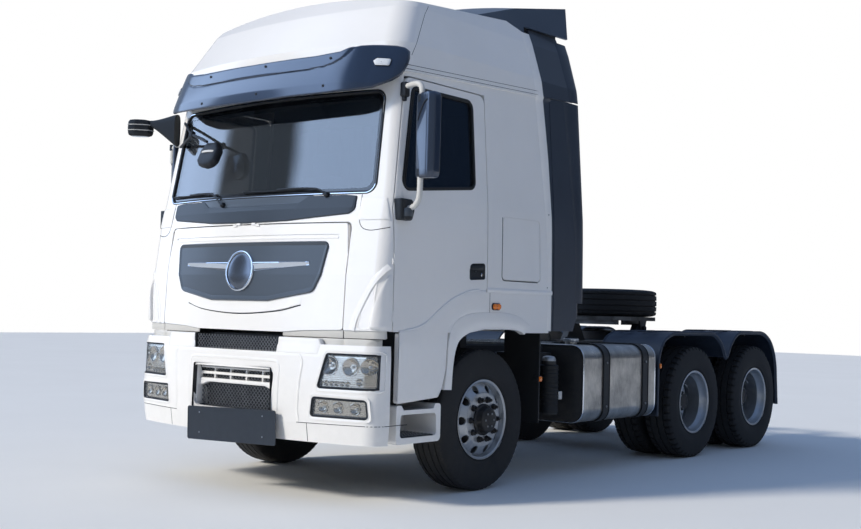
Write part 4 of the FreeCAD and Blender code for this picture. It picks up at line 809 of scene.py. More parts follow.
def onFace(form, x, z, off=0.0):
    # the same face by x instead: the bow's arc in the middle, the corner's arc outboard of it
    x, z, off = np.broadcast_arrays(np.asarray(x, float), np.asarray(z, float), np.asarray(off, float))
    half, front, corner, lean = sized(form, z, off)
    far = np.minimum(np.abs(x), half - 0.5)
    start = half - corner + corner * np.sin(lean)
    sideY = front + bow - np.sqrt(bow ** 2 - start ** 2) + corner * np.cos(lean)
    y = np.where(far < start, front + bow - np.sqrt(bow ** 2 - np.minimum(far, start) ** 2),
                 sideY - np.sqrt(np.maximum(corner ** 2 - (far - half + corner) ** 2, 0)))
    return np.stack([far * np.sign(x), y, z], -1)


def dense(outline, step=25.0, closed=True):
    # the outline with extra points, no further apart than a step, so that it can bend over a face
    p = np.asarray(outline, float)
    q = np.roll(p, -1, 0) if closed else p[1:]
    p0 = p if closed else p[:-1]
    count = np.maximum(np.ceil(np.linalg.norm(q - p0, axis=1) / step).astype(int), 1)
    start = np.repeat(np.arange(len(p0)), count)
    t = (np.arange(count.sum()) - np.repeat(np.cumsum(count) - count, count)) / count[start]
    out = p0[start] + (q - p0)[start] * t[:, None]
    return out if closed else np.concatenate([out, p[-1:]])


def domed(form, outline, profile, hole=False):
    # a panel laid on a face: rows (inset, off) run in from the outline, then shrink towards its middle
    p = np.asarray(outline, float)
    middle = (p.min(0) + p.max(0)) / 2
    size = (p.max(0) - p.min(0)) / 2
    rows = [(middle + (p - middle) * (1 - inset / size), off) for inset, off in profile]
    last = rows[-1]
    if not hole:
        rows += [(middle + (last[0] - middle) * f, last[1]) for f in (0.7, 0.4, 0.12)]
    grid = np.array([onFace(form, flat[:, 0], flat[:, 1], off) for flat, off in rows])
    points, faces = hoops(grid)
    if not hole:
        n = len(p)
        faces.append((len(rows) - 1) * n + np.arange(n)[None, :])
    return points, faces


def bead(form, path, profile, closed=False, off=0.0, byX=True):
    # a profile (across, out) carried along a line on a face, given as (x or s, z)
    path = np.asarray(path, float)
    at = onFace if byX else wrapped
    line = at(form, path[:, 0], path[:, 1], off)
    out = at(form, path[:, 0], path[:, 1], off + 10.0) - line
    return carried(line, profile, out, closed)


def screw(spot, axis, radius=7.0, head=3.0):
    # a button head: a low dome turned round the screw's axis
    low = [(0, radius), (head * 0.4, radius), (head * 0.8, radius * 0.75), (head, radius * 0.3), (head, 0.4)]
    sign = -1 if axis == "-y" else 1
    return spun([(sign * a, r) for a, r in low], spot, axis[-1], 12)


# bumper

bumperShape = {"slatEnd": 452, "slatY": (-1404, -1372), "slats": [(872, 16), (826, 22)],
               "bigSlat": (744, 800), "bigSlatStep": (300, 380, 26), "uprights": (-255, -85, 85, 255),
               "meshPitch": 24.0, "strand": 4.0, "meshLow": (-402, 402, 596, 872),
               "meshTop": (-428, 428, 1016, 1122),
               "board": {"x": (-432, 498), "z": (366, 600), "y": -1490, "thick": 6, "tilt": 1.7}}


def lattice(x0, x1, z0, z1, y, pitch, width, thick):
    # a grid of diamonds: two families of flat strands at plus and minus 45 degrees, cut to the rectangle
    parts = []
    for sign in (1, -1):
        shift = np.arange(-(z1 - z0), x1 - x0, pitch * math.sqrt(2)) + pitch * 0.4
        a0 = np.maximum(shift, 0)
        a1 = np.minimum(shift + (z1 - z0), x1 - x0)
        keep = a1 - a0 > width * 2
        a0, a1, shift = a0[keep], a1[keep], shift[keep]
        b0, b1 = a0 - shift, a1 - shift
        if sign < 0:
            b0, b1 = (z1 - z0) - b0, (z1 - z0) - b1
        w = width * 0.7
        start, end = np.stack([x0 + a0, z0 + b0], 1), np.stack([x0 + a1, z0 + b1], 1)
        across = np.array([-sign, 1.0]) * w / 2
        flat = np.stack([start - across, end - across, end + across, start + across], 1)
        near, far = (np.concatenate([flat[..., :1], np.full(flat.shape[:2] + (1,), v), flat[..., 1:]], -1)
                     for v in (y + sign * 1.0, y + sign * 1.0 + thick))
        points = np.concatenate([near, far], 1).reshape(-1, 3)
        box = np.array([[0, 1, 2, 3], [7, 6, 5, 4], [0, 4, 5, 1], [3, 2, 6, 7]])
        faces = (np.arange(len(flat))[:, None, None] * 8 + box[None]).reshape(-1, 4)
        parts.append((points, [faces]))
    return parts


def softBar(x0, x1, low, high, front, back):
    # a slat: a rounded flat section along x, its height and place given at each station
    x = np.linspace(x0, x1, 60)
    z0, z1 = (np.interp(x, *v) if isinstance(v, tuple) else np.full(len(x), float(v)) for v in (low, high))
    a = around(20)
    power = 0.42
    cx = np.sign(np.cos(a)) * np.abs(np.cos(a)) ** power
    cz = np.sign(np.sin(a)) * np.abs(np.sin(a)) ** power
    pinch = np.sqrt(np.clip(1 - (np.abs(2 * (x - x0) / (x1 - x0) - 1)) ** 60, 0.02, 1))
    grid = np.stack([np.repeat(x[:, None], 20, 1),
                     (front + back) / 2 + cx[None] * (back - front) / 2 * pinch[:, None],
                     (z0 + z1)[:, None] / 2 + cz[None] * (z1 - z0)[:, None] / 2 * pinch[:, None]], -1)
    return hoops(grid, caps=True)


def makeBumperGrilles(spec):
    # paints: 0 enamel slats, 1 black frames, and black sheets of painted shade behind the meshes, 2 mesh
    front, back = spec["slatY"]
    end = spec["slatEnd"] - 30
    parts = [softBar(-end, end, z, z + h, front, back) for z, h in spec["slats"]]
    inner, outer, rise = spec["bigSlatStep"]
    low, high = spec["bigSlat"]
    step = ([-end, -outer, -inner, inner, outer, end], [low, low, low + rise, low + rise, low, low])
    parts.append(softBar(-end, end, step, high, front - 14, back))
    for x in spec["uprights"]:
        parts.append(softBox([x - 7, front + 6, high - 10], [x + 7, back, 880], 3, 2))
    for side in (-1, 1):  # the jamb plates with their bolts
        parts.append(softBox([side * 402.0, -1440, 600], [side * 428.0, -1330, 892], 5, 2))
        for z in (636, 862):
            parts.append(painted(spun([(0, 8), (4, 8), (6, 5), (6, 0.5)], [side * 415, -1440, z], "y", 6), 1))
            parts.append(painted(moved(spun([(0, 9), (-3, 8), (-4, 5), (-4, 0.5)], [0, 0, 0], "y", 12),
                                       [side * 415, -1440, z]), 1))
    wire = lattice(*spec["meshLow"], -1388, spec["meshPitch"], spec["strand"], 2)
    wire += lattice(*spec["meshTop"], -1424, spec["meshPitch"] * 0.92, spec["strand"], 2)
    dark = []
    rim = fillet([(-424, 582), (424, 582), (414, 914), (-414, 914)], 14)
    dark.append(stacked(rim, ((0.985, -1474), (0.975, -1440), (0.95, -1310)), "y", np.array([0, 748.0])))
    # black sheets behind the lower and upper meshes: painted shade inside the openings
    shadeBacking = fillet([(-440, 560), (440, 560), (430, 930), (-430, 930)], 20)
    dark.append(slab(shadeBacking, -1300, -1294, "y", 2))
    upper = fillet([(-446, 1004), (446, 1004), (446, 1130), (-446, 1130)], 10)
    dark.append(slab(upper, -1276, -1268, "y", 2))
    frame = np.array([(-7, -4), (7, -4), (7, 4), (-7, 4)])
    loop = fillet([(-432, 1012), (432, 1012), (432, 1126), (-432, 1126)], 12)
    dark.append(carried(placed(loop, -1294.0, "y"), frame, (0, -1, 0), True))
    for side in (-1, 1):
        cheek = [(side * 446, -1276), (side * 446, -1440), (side * 432, -1440), (side * 432, -1276)]
        dark.append(slab(cheek, 1008, 1128, "z", 1))
    parts += [painted(p, 1) for p in dark] + [painted(p, 2) for p in wire]
    piece("bumperGrilles", parts, "chassis",
          "whiteEnamel grainedBlack meshWire", "bumper_grilles", sharp=40)


makeBumperGrilles(bumperShape)


def makeBumperTrim():
    # paints: 0 enamel, 1 shadow gaps and gaskets, 2 filler strips, pale grey as painted shade under the cab's
    # edge
    white, dark, grey = [], [], []
    for side in (-1, 1):
        # shoulder beside the upper opening, and the set-back strip outboard of it, pale grey as painted shade
        shoulder = sided([(436, 1012), (800, 1012), (812, 1082), (790, 1122), (436, 1126)], side)
        shoulder = fillet(shoulder, [6, 12, 26, 16, 6], 6)
        white.append(domed("bumper", dense(shoulder, 30), [(0, -34), (0, -6), (3, -1), (9, 1.5)]))
        for x0, x1 in ((448, 958), (950, 1236)):
            corners = sided([(x0, 1040), (x1, 1040), (x1, 1127), (x0, 1127)], side)
            strip = dense(fillet(corners, 6), 30)
            grey.append(domed("bumper", strip, [(0, -54), (0, -46), (3, -44)]))
        # the centre recess's soft edge, the pod's outer groove, the seams of the lower lip
        edge = sided([(462, 590), (470, 880), (462, 936), (430, 958), (300, 962), (0, 964)], side)
        ridge = sided([(-16, -1.0), (-9, 2.5), (0, 4.0), (7, 1.5), (12, -1.0)], side)
        white.append(bead("bumper", spline(edge, 10), ridge))
        groove = sided([(640, 1010), (668, 960), (652, 840), (640, 640), (652, 560)], side)
        white.append(bead("bumper", spline(groove, 10), ridge * 0.8))
        hair = hairline(2.2, 0.5)
        dark.append(bead("bumper", dense(sided([(640, 548), (1150, 552)], side), 30, False), hair))
        lip = np.stack([side * np.linspace(1150, 1560, 16), np.full(16, 552.0)], 1)
        dark.append(bead("bumper", lip, hair, byX=False))
        dark.append(bead("bumper", dense(sided([(724, 424), (724, 546)], side), 30, False), hair))
        for outline in (headlampOutline, foglampOutline):
            ring = dense(fillet(sided(outline, side), 22, 6), 30)
            gasket = [(-5, -14), (-5, 0.8), (0, 1.6), (4, 0.8), (4, -14)]
            dark.append(bead("bumper", ring, gasket, closed=True))
            wide = np.array([(-26, -0.5), (-20, 2.6), (-10, 4.2), (-4, 3.0), (-4, -6), (-20, -6)])
            centre = (ring.max(0) + ring.min(0)) / 2
            big = centre + (ring - centre) * (1 + 15 / ((ring.max(0) - ring.min(0)) / 2))
            white.append(bead("bumper", big, wide + [15, 0], closed=True))
        s, z = np.meshgrid(np.linspace(1284, 1368, 12), np.linspace(784, 1034, 16))
        away = np.minimum.reduce([s - 1282, 1370 - s, z - 782, 1036 - z]) / 8
        white.append(skin(wrapped("bumper", side * s, z, 2.4 * np.clip(away, 0, 1) ** 0.5 - 0.6)))
    parts = white + [painted(p, 1) for p in dark] + [painted(p, 2) for p in grey]
    piece("bumperTrim", parts, "chassis", "whiteEnamel sealRubber paleTube", sharp=50)


headlampOutline = [(800, 792), (1236, 792), (1236, 1026), (868, 1026)]
foglampOutline = [(752, 598), (1190, 598), (1180, 722), (770, 728)]
makeBumperTrim()


def makeBoard(spec):
    # the blank board on the lower lip: rolled edges, two straps and four dome screws
    board = spec["board"]
    (x0, x1), (z0, z1) = board["x"], board["z"]
    y = board["y"]
    centre = np.array([(x0 + x1) / 2, y, (z0 + z1) / 2])
    turn = turnMatrix("y", -board["tilt"])
    rect = fillet([(x0, z0), (x1, z0), (x1, z1), (x0, z1)], 14, 6)
    parts = [slab(rect, y, y + board["thick"], "y", 2)]
    parts.append(carried(placed(rect, y + 1.0, "y"), [(-4, 0), (-3, 2.2), (0, 3), (3, 2.2), (4, 0)],
                         (0, -1, 0), True))
    steel = []
    for x in (x0 + 130, x1 - 130):
        steel.append(softBox([x - 16, y + 6, z0 + 30], [x + 16, y + 12, z1 - 20], 2, 1))
        steel.append(softBox([x - 14, y + 10, z0 + 96], [x + 14, y + 60, z1 - 60], 3, 1))
        for z in (z0 + 50, z1 - 40):
            steel.append(screw([x, y - 1, z], "-y", 6, 3))
    parts = [moved(p, turn=turn, about=centre) for p in parts]
    steel = [painted(moved(p, turn=turn, about=centre), 1) for p in steel]
    piece("blankBoard", parts + steel, "chassis", "slatePowder zincSteel")


makeBoard(bumperShape)
print("bumper trimmed")


# lamps

lampShape = {
    "head": {"outline": headlampOutline, "x": (812, 1226), "z": (804, 1016), "depth": 34,
             "bowls": [(884, 945, 60), (1048, 940, 56), (1176, 944, 50)],
             "small": [(826 + 41 * i, 826, 15) for i in range(6)] + [(1120, 842, 22)]},
    "fog": {"outline": foglampOutline, "x": (768, 1176), "z": (608, 714), "depth": 26,
            "bowls": [(846, 664, 36), (962, 663, 36), (1092, 662, 36)], "small": []}}


def reflector(spec, side):
    # one chromed skin: a flat floor sunk in a round bowl at each lamp, with fine steps between
    x = np.linspace(spec["x"][0], spec["x"][1], 150)[None, :]
    z = np.linspace(spec["z"][0], spec["z"][1], 80)[:, None]
    corners = np.array(spec["outline"], float)
    left = np.interp(z, [spec["z"][0], spec["z"][1]], [corners[0, 0] + 10, corners[3, 0] + 10])
    x = left + (x - spec["x"][0]) * (spec["x"][1] - left) / (spec["x"][1] - spec["x"][0])
    z = z + 0 * x
    off = -16.0 - 3.0 * (np.floor(z / 14) % 2) + 0 * x
    for cx, cz, r in spec["bowls"] + spec["small"]:
        d = np.sqrt((x - cx) ** 2 + (z - cz) ** 2) / r
        off = np.where(d < 1, -16 - spec["depth"] * (1 - d ** 2) * min(1, r / 40), off)
        off = np.where((d >= 1) & (d < 1.14), -12.0, off)
    grid = onFace("bumper", side * x, z, np.maximum(off, -44))
    return skin(grid)


def makeLamps(side, label):
    # paints: 0 chromed reflectors, 1 black housings, 2 bulbs and lens rings
    parts = []
    for spec in lampShape.values():
        parts.append(reflector(spec, side))
        for cx, cz, r in spec["bowls"]:
            spot = onFace("bumper", side * cx, cz, -16.0 - spec["depth"] * 0.62)
            ball = [(-18, 0.5), (-16, 7), (-9, 11), (0, 12), (12, 9)]
            parts.append(painted(spun([(a, b * r / 56) for a, b in ball], spot, "y", 20), 2))
            a = around(40)
            circle = np.stack([side * (cx + r * 1.07 * np.cos(a)), cz + r * 1.07 * np.sin(a)], 1)
            parts.append(bead("bumper", circle, [(-3, -2), (-2, 2), (2, 2), (3, -2)], closed=True, off=-12.0))
        ring = dense(fillet(sided(spec["outline"], side), 22, 6), 30)
        parts.append(painted(bead("bumper", ring, [(-3, -50), (-3, -3), (-12, -3), (-12, -50)],
                                  closed=True), 1))
    piece("lampInsides_" + label, parts, "chassis",
          "reflectorSilver grainedBlack whiteLens", recalc=False, sharp=40)


for side, label in bothSides:
    makeLamps(side, label)
print("lamps filled")


# front lid: grey panel, plain bars and blank disc

lidShape = {"panel": [(800, 1792), (760, 1560), (700, 1440), (300, 1372), (-300, 1372), (-700, 1440),
                      (-760, 1560), (-800, 1792)],
            "bar": {"inner": 128, "outer": 650, "z": 1652, "thickIn": 74, "thickOut": 26},
            "disc": {"z": 1586, "radius": 148,
                     "rim": [(1.0, 4), (1.0, 15), (0.985, 19), (0.94, 22), (0.885, 20), (0.87, 15),
                             (0.865, 12)],
                     "face": [(0.868, 12.2), (0.8, 15.5), (0.6, 19), (0.35, 21), (0.1, 22)]},
            "slot": [(-600, 1352), (-380, 1306), (0, 1282), (380, 1306), (600, 1352)]}


def makeLidTrim(spec):
    # paints: 0 chrome, 1 grey panel edge, 2 enamel lip, 3 shadow gap, 4 dark blank face
    outline = dense(fillet(spec["panel"], [40, 30, 60, 60, 60, 60, 30, 40], 7), 30)
    edge = [(-1, -6), (-1, 7), (4, 12), (20, 10), (34, 4.9), (34, -6)]
    parts = [painted(bead("cab", outline, edge, closed=True, off=1.0), 1)]
    bar = spec["bar"]
    for side in (-1, 1):
        t = np.linspace(0, 1, 30)
        x = side * (bar["inner"] + (bar["outer"] - bar["inner"]) * t)
        drop = bar["thickIn"] + (bar["thickOut"] - bar["thickIn"]) * t ** 0.8
        rise = np.array([0.0, 0.04, 0.16, 0.3, 0.42, 0.86, 1.0, 1.0, 0.0])
        out = np.array([5, 16, 20, 18, 14, 9, 8, 5, 5.0])
        fade = np.sqrt(np.clip(1 - t ** 14, 0.05, 1))
        z = bar["z"] - rise[None, :] * drop[:, None]
        off = 5 + (out - 5)[None, :] * fade[:, None]
        grid = onFace("cab", x[:, None] + 0 * z, z, off)
        parts.append(hoops(grid, caps=True))
    disc = spec["disc"]
    a = around(72)
    for index, profile in ((0, disc["rim"]), (4, disc["face"])):
        rows = [onFace("cab", r * disc["radius"] * np.cos(a), disc["z"] + r * disc["radius"] * np.sin(a), off)
                for r, off in profile]
        parts.append(painted(hoops(rows), index))
    parts[-1][1].append((len(rows) - 1) * len(a) + np.arange(len(a))[None, :])
    slot = spline(spec["slot"], 12)
    foot = np.array(spec["panel"])[5:1:-1]
    panelLow = np.interp(slot[:, 0], foot[:, 0], foot[:, 1]) - 6
    fade = np.clip(1 - np.abs(slot[:, 0] / 604) ** 12, 0, 1)
    rows = [onFace("cab", slot[:, 0], panelLow * (1 - t) + slot[:, 1] * t, off * fade)
            for t, off in ((0.0, 1.0), (0.35, 5), (0.8, 13), (0.96, 15), (1.0, 12), (1.0, 0.5))]
    parts.append(painted(skin(rows), 2))
    parts.append(painted(bead("cab", slot - [0, 4], hairline(4, 0.7)), 3))
    # the shallow crease above the panel catches the light on its lower edge
    crease = dense([(-862, 1816), (862, 1816)], 40, False)
    parts.append(painted(bead("cab", crease, [(-12, -1), (-6, 2.4), (0, 3.4), (6, 2.4), (12, -1)]), 2))
    piece("lidTrim", parts, "front_lid",
          "chrome greyAbs whiteEnamel sealRubber darkChrome", sharp=50)


makeLidTrim(lidShape)


# lower returns of the lid and of the cab's front, which close the view behind the bumper's top

# the pale grey of the returns is painted shade under the overhang; the returns themselves are white enamel
for name, body, x0, x1 in (("lidReturn", "front_lid", 448, 950), ("cabReturn", "cab", 958, 1232)):
    lips = []
    for side in (-1, 1):
        x = np.linspace(x0, x1, 24) * side
        rows = ((1186, -10), (1136, -11), (1132, -14), (1136, -17), (1186, -16))
        lips.append(skin([onFace("cab", x, z, off) for z, off in rows]))
    piece(name, lips, body, "paleTube", sharp=40)


# corner air guides

guideShape = {"z": (1196, 1568), "tail": 1318, "out": 26,
              "leaf": [(1196, 1556), (1150, 1500), (1108, 1390), (1086, 1290), (1078, 1206), (1168, 1206),
                       (1180, 1290), (1190, 1400)],
              "sweep": [(1268, 1630), (1228, 1592), (1140, 1480), (1050, 1300), (1020, 1190)]}


def makeCornerGuide(side, label, spec):
    # a curved blade on the cab's corner: its front edge leans inboard as it goes down, its section is a
    # rounded wedge that dies away at the top
    z0, z1 = spec["z"]
    t = np.linspace(0, 1, 36)
    z = z0 + (z1 - z0) * t
    lead = 1176 + 116 * t ** 1.7  # along the face, the blade's inboard edge
    out = spec["out"] * np.clip(1 - t ** 5, 0, 1) * np.clip(t * 24 + 0.15, 0, 1)
    u = np.array([0, 0, 0.04, 0.12, 0.3, 0.55, 0.8, 1.0])
    h = np.array([-3, 0.55, 0.9, 1.0, 0.94, 0.7, 0.36, -0.06])
    s = lead[:, None] + (spec["tail"] - lead)[:, None] * u[None]
    off = out[:, None] * np.maximum(h, 0)[None] + np.minimum(h, 0)[None]
    blade = skin(wrapped("cab", side * s, z[:, None] + 0 * s, off))
    # the leaf-shaped hollow inboard of it, a soft ridge round a low floor
    ring = spline(sided(spec["leaf"], side), 8, closed=True)
    ridge = bead("cab", ring, [(-9, -1), (-4, 2.2), (0, 3.0), (4, 1.6), (9, -1)], closed=True, byX=False)
    parts = [blade, ridge]
    sweep = spline(sided(spec["sweep"], side), 10)
    parts.append(bead("cab", sweep, [(-34, -1), (-14, 3.5), (0, 4.5), (10, 3.0), (22, -1)], byX=False))
    piece("cornerGuide_" + label, parts, "cab", "whiteEnamel", sharp=60)


for side, label in bothSides:
    makeCornerGuide(side, label, guideShape)
print("front trim made")


# cowl band, windscreen edge and wipers

screenShape = {"opening": [(-1090, 2128), (1090, 2128), (1052, 2850), (-1052, 2850)], "radius": 70,
               "frit": 34,
               "band": [(-962, 2106), (-962, 2014), (-925, 1982), (-400, 1940), (0, 1932), (400, 1940),
                        (925, 1982), (962, 2014), (962, 2106), (872, 2116), (560, 2114), (480, 2066),
                        (0, 2056), (-480, 2066), (-560, 2114), (-872, 2116)],
               "wipers": [((-305, 2080), (-440, 2166), (-760, 2176), (-1040, -455, 2172)),
                          ((719, 2118), (640, 2160), (270, 2168), (-85, 625, 2160))]}


def makeCowl(spec):
    # paints: 0 grey band, 1 enamel corners, 2 shadow seams
    outline = dense(fillet(spec["band"], [8, 30, 60, 200, 300, 200, 60, 30, 8, 20, 30, 40, 300, 40, 30, 20],
                           5), 30)
    middle = np.array([0, 2024.0])
    rows = []
    for shrink, off in ((0, -4), (0, 5), (2.5, 8), (7, 9), (16, 9.5)):
        pull = 1 - shrink / np.maximum(np.abs(outline - middle), 40)
        rows.append((middle + (outline - middle) * pull, off))
    last = rows[-1][0]
    for f in (0.6, 0.2, 0.0):
        rows.append((middle + (last - middle) * [1, f], 9.5 + 3 * (1 - f)))
    parts = [hoops([onFace("cab", flat[:, 0], flat[:, 1], off) for flat, off in rows])]
    strip = dense(fillet([(-606, 2052), (606, 2052), (606, 2118), (-606, 2118)], 12), 40)
    parts.append(painted(domed("cab", strip, [(0, -3), (0, 2.5), (5, 3.5)]), 3))
    for side in (-1, 1):
        z = np.linspace(1938, 2092, 18)[:, None]
        last = np.interp(z, [1938, 2092], [1250, 1202])  # it stops short of the door's front edge
        s = 1008 + (last - 1008) * np.linspace(0, 1, 34)[None]
        edge = np.minimum(np.minimum((s - 1006) / 30, (last + 3 - s) / 12),
                          np.minimum((2094 - z) / 26, (z - 1934) / 26))
        off = 8.0 * np.sqrt(np.clip(edge, 0, 1)) * (2 - np.sqrt(np.clip(edge, 0, 1))) - 0.5
        parts.append(painted(skin(wrapped("cab", side * s, z + 0 * s, off)), 1))
        seam = [(1004, 2116), (1012, 1960), (1040, 1890), (1110, 1866), (1220, 1880), (1254, 1888)]
        seam = spline(sided(seam, side), 12)
        parts.append(painted(bead("cab", seam, hairline(2.5, 0.6), byX=False), 2))
    piece("cowlBand", parts, "cab",
          "bandAbs whiteEnamel sealRubber greyAbs", "cowl_band", sharp=50)


makeCowl(screenShape)


def makeScreenEdge(spec):
    # paints: 0 rubber, 1 polished insert, 2 ceramic border, 3 wiper steel
    ring = dense(fillet(spec["opening"], spec["radius"], 9), 40)
    parts = [bead("cab", ring, [(-14, -12), (-14, -1), (-10, 3), (0, 4.5), (9, 2.5), (13, -1), (13, -10)],
                  closed=True)]
    parts.append(painted(bead("cab", ring, [(-3.5, 3.5), (-2.5, 6), (2.5, 6), (3.5, 3.5)], closed=True), 1))
    parts.append(painted(domed("cab", ring, [(4, -9.5), (spec["frit"], -9.4)], hole=True), 2))
    top = dense(fillet([(-1040, 2798), (1040, 2798), (1034, 2846), (-1034, 2846)], 8), 40)
    parts.append(painted(domed("cab", top, [(0, -9.5), (6, -9.3)]), 2))
    for pivot, knee, clip, (x0, x1, level) in spec["wipers"]:
        flat = np.array([pivot, knee, ((knee[0] + clip[0]) / 2, (knee[1] + clip[1]) / 2 + 6), clip], float)
        line = spline(onFace("cab", flat[:, 0], flat[:, 1], np.array([26.0, 26, 26, 22])), 8)
        parts.append(painted(carried(line, [(-7, -3), (-7, 3), (0, 6), (7, 3), (7, -3)], (0, -1, 0.2)), 3))
        hub = onFace("cab", pivot[0], pivot[1], 8)
        parts.append(painted(spun([(4, 20), (-14, 18), (-20, 13), (-22, 0.5)], hub, "y", 20), 3))
        x = np.linspace(x0, x1, 26)
        rail = onFace("cab", x, level + 5 * np.cos(np.pi * (x - x0) / (x1 - x0)) ** 2, 13.0)
        parts.append(painted(carried(rail, [(-5, -3), (-4, 4), (0, 6), (4, 4), (5, -3)], (0, -1, 0.2)), 3))
        lipRow = onFace("cab", x, level - 6 + 0 * x, 0.0)
        parts.append(carried(lipRow, [(-2, -9), (-1, 12), (1, 12), (2, -9)], (0, -1, 0.2)))
    piece("screenEdge", parts, "cab", "sealRubber chrome fritCeramic wiperSteel", sharp=45)


makeScreenEdge(screenShape)
print("windscreen framed")


# sun visor

visorShape = {
    "low": [(0, 2800), (720, 2812), (940, 2821), (1100, 2844), (1180, 2874), (1240, 2902), (1290, 2944),
            (1312, 2996), (1320, 3030)],
    "high": [(0, 3098), (600, 3102), (800, 3118), (850, 3142), (940, 3158), (1060, 3164), (1200, 3162),
             (1270, 3152), (1306, 3132), (1320, 3078)],
    "step": [(0, 2997), (560, 3000), (700, 3012), (780, 3034), (840, 3070), (880, 3120), (940, 3240)],
    "wall": 22, "raise": 7.0, "screws": [(-1060, 3056), (-480, 3060), (145, 3066), (740, 3070), (-492, 2846),
                                         (130, 2856), (742, 2864)]}


def makeVisor(spec):
    # paints: 0 slate lacquer, 1 marker lens, 2 black screws and lamp rim
    def flare(s):  # the ends stand clear of the roof
        return 26 * np.clip((np.abs(s) - 1060) / 190, 0, 1)
    def visorSheet(s, t, back):
        far = np.abs(s)
        low, high = (np.interp(far, *np.array(spec[k], float).T) for k in ("low", "high"))
        z = low + (high - low) * t
        line = np.interp(far, *np.array(spec["step"], float).T)
        above = np.clip((z - line) / 5.0, 0, 1)
        dip = np.exp(-((z - line + 3) / 5.0) ** 2)
        roll = np.minimum((z - low), (high - z) * 0.8)
        bend = np.clip(roll / 16.0, 0, 1)
        edge = 9.0 * (1 - np.sqrt(bend * (2 - bend)))
        belly = 5.0 * np.sin(np.pi * np.clip((z - low) / np.maximum(line - low, 30), 0, 1))
        off = spec["raise"] * (above * above * (3 - 2 * above)) - 2.5 * dip + belly * (1 - above) - edge
        if back:
            off = -spec["wall"] + edge * 0.4
        return wrapped("visor", s, z, off + flare(s))
    t = np.concatenate([np.linspace(0, 0.06, 7), np.linspace(0.09, 0.91, 42), np.linspace(0.94, 1, 7)])
    s, t = np.meshgrid(1320 * np.linspace(-1, 1, 201), t)
    front, back = visorSheet(s, t, False), visorSheet(s, t[::-1], True)
    parts = [hoops(np.concatenate([front, back]).transpose(1, 0, 2), caps=True)]
    x = np.linspace(-1090, 1090, 60)
    rim = onFace("visor", x, 3050.0, -spec["wall"] + 2)
    wallLine = onFace("roof", x, 3052.0, -2.0)
    parts.append(skin([rim, wallLine, wallLine + [0, 0, 12], rim + [0, 0, 12]], closeRows=True))
    for side in (-1, 1):
        for at in (980, 420):
            face = onFace("visor", side * at, np.array([2836.0, 2910, 3046]), -spec["wall"] + 3)
            roof = onFace("cab", side * at, np.array([2890.0, 2950, 3046]), -1.0)
            grid = np.array([face, roof])
            parts.append(skin(np.concatenate([grid - [4, 0, 0], grid[::-1] + [4, 0, 0]]), closeRows=True))
    for x, z in spec["screws"]:
        band = z > 2950
        spot = onFace("visor", x, z, 11.0 if band else 4.5)
        cup = [(1, 11), (-1.5, 10), (-2.5, 7), (0, 5), (0, 0.5)]
        parts.append(painted(spun(cup, spot, "y", 14), 2))
    for side in (-1, 1):  # the marker lamps, a tapered lens in a thin black rim
        lens = sided([(1070, 3040), (1096, 3006), (1202, 3006), (1204, 3056), (1096, 3060)], side)
        lens = dense(fillet(lens, [6, 10, 12, 12, 10], 5), 12)
        lamp = stacked(lens, ((1.0, 0), (1.0, 12), (0.93, 15), (0.8, 16.5), (0.5, 17.5), (0.05, 18)),
                       lambda flat, off: wrapped("visor", flat[:, 0], flat[:, 1], off + flare(flat[:, 0])))
        parts.append(painted(lamp, 1))
        parts.append(painted(bead("visor", lens, [(-2, 0), (-1.5, 11), (2.5, 12), (3.5, 0)], closed=True,
                                  off=flare(lens[:, 0]), byX=False), 2))
    piece("visor", parts, "cab", "slateLacquer whiteLens hubBlack", "sun_visor", sharp=40)


makeVisor(visorShape)
print("visor shaped")


# mirrors

mirrorShape = {
    "left": {"case": [(1320, -1034), (1336, -1068), (1468, -1108), (1506, -1080), (1511, -1014),
                      (1318, -966)],
             "low": 2222, "high": 2806, "tube": 20,
             "upper": [(1196, -1022, 2868), (1262, -1034, 2876), (1330, -1048, 2872), (1368, -1055, 2842),
                       (1375, -1056, 2780), (1375, -1056, 2700)],
             "lower": [(1375, -1056, 2300), (1375, -1056, 2180), (1370, -1058, 2090), (1342, -1064, 2040),
                       (1296, -1070, 2022), (1262, -1074, 2018)]},
    "right": {"case": [(1322, -1004), (1440, -926), (1484, -872), (1480, -838), (1464, -826), (1308, -944)],
              "low": 2132, "high": 2668, "tube": 20,
              "upper": [(1152, -1010, 2638), (1240, -992, 2642), (1330, -972, 2640), (1376, -964, 2612),
                        (1385, -962, 2560), (1385, -962, 2500)],
              "lower": [(1385, -962, 2240), (1385, -962, 2140), (1380, -966, 2062), (1350, -990, 2028),
                        (1306, -1026, 2020), (1264, -1060, 2020)]},
    "foot": {"base": [(-1142, 1940), (-1020, 1940), (-998, 2010), (-1016, 2086), (-1142, 2086)]}}


def mirrorCase(spec):
    # the case's plan outline carried up with a crown at both ends, and a hollow lip round the glass
    plan = fillet(spec["case"], [14, 34, 36, 20, 12, 12], 6)
    z0, z1 = spec["low"], spec["high"]
    levels = [(0.6, z0), (0.82, z0 + 2), (0.93, z0 + 9), (0.985, z0 + 24), (1.0, z0 + 60),
              (1.015, (z0 + z1) / 2),
              (1.0, z1 - 60), (0.985, z1 - 26), (0.93, z1 - 10), (0.82, z1 - 2), (0.6, z1)]
    return stacked(plan, levels, "z", plan.mean(0), caps=True)


